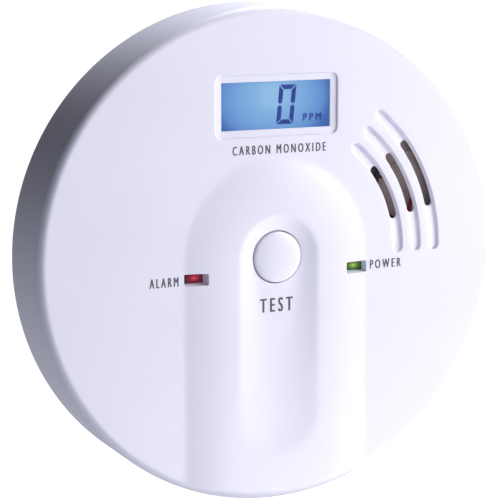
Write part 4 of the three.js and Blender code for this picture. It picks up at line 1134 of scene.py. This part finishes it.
def metal(name, colour, roughness, streak=(1, 1, 1)):
    """Metal with fine drawn or rolled lines and a little staining."""
    n = Nodes(name)
    stretch = n.add("ShaderNodeMapping", {"Vector": n.place(), "Scale": streak}).outputs[0]
    lines = n.noise(2400, 4, stretch)
    stain = n.noise(220, 3)
    tint = n.ramp(stain, [(0.35, varied(colour, 0.82)), (0.65, varied(colour, 1.06))])
    return n.principled(
        Base_Color=tint,
        Metallic=1.0,
        Roughness=n.mapped(lines, roughness - 0.08, roughness + 0.12),
        Normal=n.bump(lines, 0.00001, 0.3),
    )


def clear_window():
    """Clear plastic that lets the display through and mirrors the lights at its surface."""
    n = Nodes("clear_window")
    smudge = n.mapped(n.noise(90, 3), 0.04, 0.09)
    gloss = n.add("ShaderNodeBsdfGlossy", {"Roughness": smudge, "Color": (1, 1, 1, 1)})
    through = n.add("ShaderNodeBsdfTransparent", {"Color": (0.95, 0.97, 1, 1)})
    edge = n.add("ShaderNodeFresnel", {"IOR": 1.25}).outputs[0]
    mix = n.add("ShaderNodeMixShader", {"Fac": edge, 1: through.outputs[0], 2: gloss.outputs[0]})
    n.tree.links.new(mix.outputs[0], n.output.inputs["Surface"])
    return n.material


def lit_display():
    """A backlit panel: bright in the middle, deeper blue towards its ends and its edges."""
    n = Nodes("lit_display")
    centre = middle("lcd_panel") * MM
    half = (lcd_high - lcd_low) / 2 * MM
    x, _, z = n.axes(n.place())
    across = n.maths("DIVIDE", n.maths("SUBTRACT", x, float(centre[0])), float(half[0]))
    brightest = float(centre[1] + 0.3 * half[1])
    along = n.maths("DIVIDE", n.maths("SUBTRACT", z, brightest), float(half[1]))
    along = n.maths("MULTIPLY", n.maths("POWER", along, 2), 0.35)
    away = n.maths("ADD", n.maths("POWER", across, 2), along)
    away = n.maths("ADD", away, n.mapped(n.noise(120, 2), -0.06, 0.06))
    glow = n.ramp(
        away,
        [
            (0.0, (0.33, 0.57, 0.79)),
            (0.12, (0.25, 0.47, 0.73)),
            (0.35, (0.20, 0.40, 0.69)),
            (0.75, (0.13, 0.28, 0.60)),
            (1.0, (0.06, 0.15, 0.44)),
        ],
    )
    return n.principled(
        Base_Color=(0.02, 0.04, 0.09, 1),
        Roughness=0.25,
        Emission_Color=glow,
        Emission_Strength=0.92,
        Normal=n.bump(n.noise(3000, 2), 0.000004, 0.2),
    )


def lcd_ink():
    """The dark segments of the display, which let a little of the light through."""
    n = Nodes("lcd_ink")
    tint = n.ramp(n.noise(900, 2), [(0.3, (0.012, 0.03, 0.17)), (0.7, (0.02, 0.045, 0.22))])
    glow = dict(Emission_Color=tint, Emission_Strength=0.7)
    return n.principled(Base_Color=tint, Roughness=0.4, **glow)


def lamp(slot, node):
    """A tinted lamp that glows round a bright spot under its lens; the lens's own colour is painted
    darker away from that spot.
    """
    n = Nodes(f"lamp_glow_{slot}")
    centre = middle(node)
    tip = span(node)[1][2]
    core = in_frame([(centre[0] + LAMP_SPOT, centre[1], tip - LAMP_SPOT_DEPTH)])[0]
    offset = n.vectors("SUBTRACT", n.place(), tuple(core)).outputs[0]
    squeezed = n.vectors("MULTIPLY", offset, LAMP_SQUEEZE).outputs[0]
    away = n.vectors("LENGTH", squeezed).outputs["Value"]
    share = n.mapped(away, 0, 1, 0, LAMP_GLOW * MM)
    mottled = n.mapped(n.noise(1500, 3), -0.12, 0.12)
    share = n.maths("ADD", share, mottled)
    stops = LAMPS[slot]
    # painted shade: the lens's colour darkens away from the bright spot, following the glow, so its
    # corners look darker
    lens = [(0, varied(stops[1][1], 0.25)), (1, stops[3][1])]
    return n.principled(
        Base_Color=n.ramp(share, lens),
        Roughness=0.08,
        Coat_Weight=0.6,
        Emission_Color=n.ramp(share, stops),
        Emission_Strength=0.9,
    )


def circuit_board():
    """Green solder mask over copper tracks, in patches of slightly different green."""
    n = Nodes("circuit_board")
    bricks = {"Vector": n.place(), "Scale": 330.0, "Mortar Size": 0.035, "Row Height": 0.6}
    tracks = n.add("ShaderNodeTexBrick", bricks, offset=0.37)
    patch = n.add("ShaderNodeTexVoronoi", {"Vector": n.place(), "Scale": 140.0})
    greens = [(0.2, (0.010, 0.085, 0.030)), (0.6, (0.016, 0.13, 0.045))]
    mask = n.ramp(patch.outputs["Distance"], greens)
    over_track = (0.04, 0.24, 0.08, 1)
    factor, first, second, result = 0, 6, 7, 2  # a colour mix's sockets
    colours = {factor: tracks.outputs["Fac"], first: mask, second: over_track}
    tint = n.add("ShaderNodeMix", colours, data_type="RGBA")
    return n.principled(
        Base_Color=tint.outputs[result],
        Roughness=n.mapped(n.noise(700, 2), 0.28, 0.42),
        Normal=n.bump(tracks.outputs["Fac"], 0.00003, 0.4),
    )


def sleeve(name, plus):
    """A printed battery sleeve with a coloured band at its plus end, and bare steel ends."""
    n = Nodes(name)
    reach = plus * SLEEVE_REACH * MM
    position = n.mapped(n.axes(n.place())[0], 0, 1, -reach, reach)
    worn = n.maths("ADD", position, n.mapped(n.noise(900, 5), -0.004, 0.004))
    body, band, steel = (0.035, 0.06, 0.14), (0.5, 0.26, 0.08), (0.62, 0.62, 0.63)
    ends = [(0.095, steel), (0.1, body), (0.64, body), (0.65, band), (0.965, band), (0.97, steel)]
    bare = [(0.095, (1, 1, 1)), (0.1, (0.35,) * 3), (0.965, (0.35,) * 3), (0.97, (1, 1, 1))]
    return n.principled(
        Base_Color=n.ramp(worn, ends),
        Metallic=n.ramp(position, bare),
        Roughness=n.mapped(n.noise(500, 3), 0.22, 0.4),
    )


OTHER_FINISHES = {
    "display_lens": clear_window,
    "lcd": lit_display,
    "lcd_ink": lcd_ink,
    "circuit_board": circuit_board,
    "battery_sleeve": lambda: sleeve("battery_sleeve", 1),
    "battery_sleeve_turned": lambda: sleeve("battery_sleeve_turned", -1),
    "red_lamp": lambda: lamp("red_lamp", "alarm_led_red"),
    "green_lamp": lambda: lamp("green_lamp", "power_led_green"),
}

finishes_made = {}


def finish(slot):
    """The material of a slot, made when it is first needed."""
    if slot not in finishes_made:
        if slot in PLASTICS:
            made = moulded(slot, **PLASTICS[slot])
        elif slot in METALS:
            made = metal(slot, **METALS[slot])
        else:
            made = OTHER_FINISHES[slot]()
        finishes_made[slot] = made
    return finishes_made[slot]


def dress_cad_nodes():
    """Gives each CAD node that still shows its material, smooth shading and small edge rounds."""
    for name, node in frame["nodes"].items():
        if node.hide_render:
            continue
        node.data.materials.clear()
        node.data.materials.append(finish(SLOTS[name]))
        shade(node.data, CAD_SMOOTH_ANGLE)
        bevel = node.modifiers.new("edges", "BEVEL")
        bevel.limit_method = "ANGLE"
        bevel.angle_limit = CAD_EDGE_ANGLE
        bevel.width = CAD_EDGE * MM
        bevel.segments = 2


# ---- Camera, floor and light ----


def direction(azimuth, elevation):
    """The unit vector towards an azimuth and elevation, in radians; azimuth 0 is in front."""
    level = math.cos(elevation)
    return Vector((math.sin(azimuth) * level, -math.cos(azimuth) * level, math.sin(elevation)))


def place_camera():
    """A camera at the photograph's angle, aimed a little beside the middle of the face."""
    back = direction(CAMERA_AZIMUTH, CAMERA_ELEVATION)
    right = Vector((0, 0, 1)).cross(back).normalized()
    up = back.cross(right)
    distance = CAMERA_DISTANCE * MM
    centre = Vector(in_frame([(0, 0, FACE)])[0])
    target = centre - right * AIM_LEFT * distance + up * AIM_UP * distance
    data = bpy.data.cameras.new("camera")
    data.lens = CAMERA_LENS
    data.clip_start = 0.05
    data.clip_end = 20
    camera = linked("camera", data)
    camera.location = centre + back * distance
    camera.rotation_mode = "QUATERNION"
    camera.rotation_quaternion = (target - camera.location).to_track_quat("-Z", "Y")
    bpy.context.scene.camera = camera


def softbox(name, azimuth, elevation, distance, size, energy, colour):
    """A rectangular lamp that faces the alarm's middle."""
    light = bpy.data.lights.new(name, "AREA")
    light.shape = "RECTANGLE"
    light.size, light.size_y = size
    light.energy = energy
    light.color = colour
    holder = linked(name, light)
    away = direction(math.radians(azimuth), math.radians(elevation))
    holder.location = away * distance
    holder.rotation_mode = "QUATERNION"
    holder.rotation_quaternion = (-away).to_track_quat("-Z", "Y")


def place_lights():
    for name, settings in LIGHTS.items():
        softbox(name, *settings)


def world_light():
    """A pale table below and a darker room above, brighter to the right; white where it is seen."""
    world = bpy.data.worlds.new("studio")
    n = Nodes(None, world)
    x, _, z = n.axes(n.add("ShaderNodeTexCoord").outputs["Generated"])
    room = n.mapped(x, 0.0, 0.3, -0.4, 1.0)
    table = n.mapped(z, 0.62, 0.0, -0.3, 0.12)
    light = n.maths("MAXIMUM", room, table)
    seen = n.add("ShaderNodeLightPath").outputs["Is Camera Ray"]
    strength = n.maths("MAXIMUM", light, seen)
    sky = {"Color": (0.84, 0.87, 1, 1), "Strength": strength}
    background = n.add("ShaderNodeBackground", sky)
    n.tree.links.new(background.outputs[0], n.output.inputs["Surface"])
    bpy.context.scene.world = world


def place_floor():
    """A pale floor well below the alarm, which doesn't throw its own light back at it."""
    height = cad_bounds[0].z - FLOOR_DROP
    edge = FLOOR_REACH
    places = [(-edge, -edge), (edge, -edge), (edge, edge), (-edge, edge)]
    mesh = bpy.data.meshes.new("floor")
    mesh.from_pydata([(x, y, height) for x, y in places], [], [(0, 1, 2, 3)])
    n = Nodes("floor")
    tint = n.ramp(n.noise(3, 2), [(0.3, (0.90, 0.90, 0.90)), (0.7, (0.93, 0.93, 0.93))])
    glow = dict(Emission_Color=(1, 1, 1, 1), Emission_Strength=0.95)
    mesh.materials.append(n.principled(Base_Color=tint, Roughness=0.8, **glow))
    floor = linked("floor", mesh)
    floor.visible_diffuse = False
    floor.visible_glossy = False


# ---- Scene ----

bpy.context.scene.view_settings.view_transform = "Standard"
place_camera()
place_lights()
world_light()
place_floor()
build_cover()
build_button()
build_led("alarm_led_red")
build_led("power_led_green")
build_lens()
build_lcd()
build_digit()
build_printing()
build_button_spring()
build_battery_springs()
build_cells()
dress_cad_nodes()
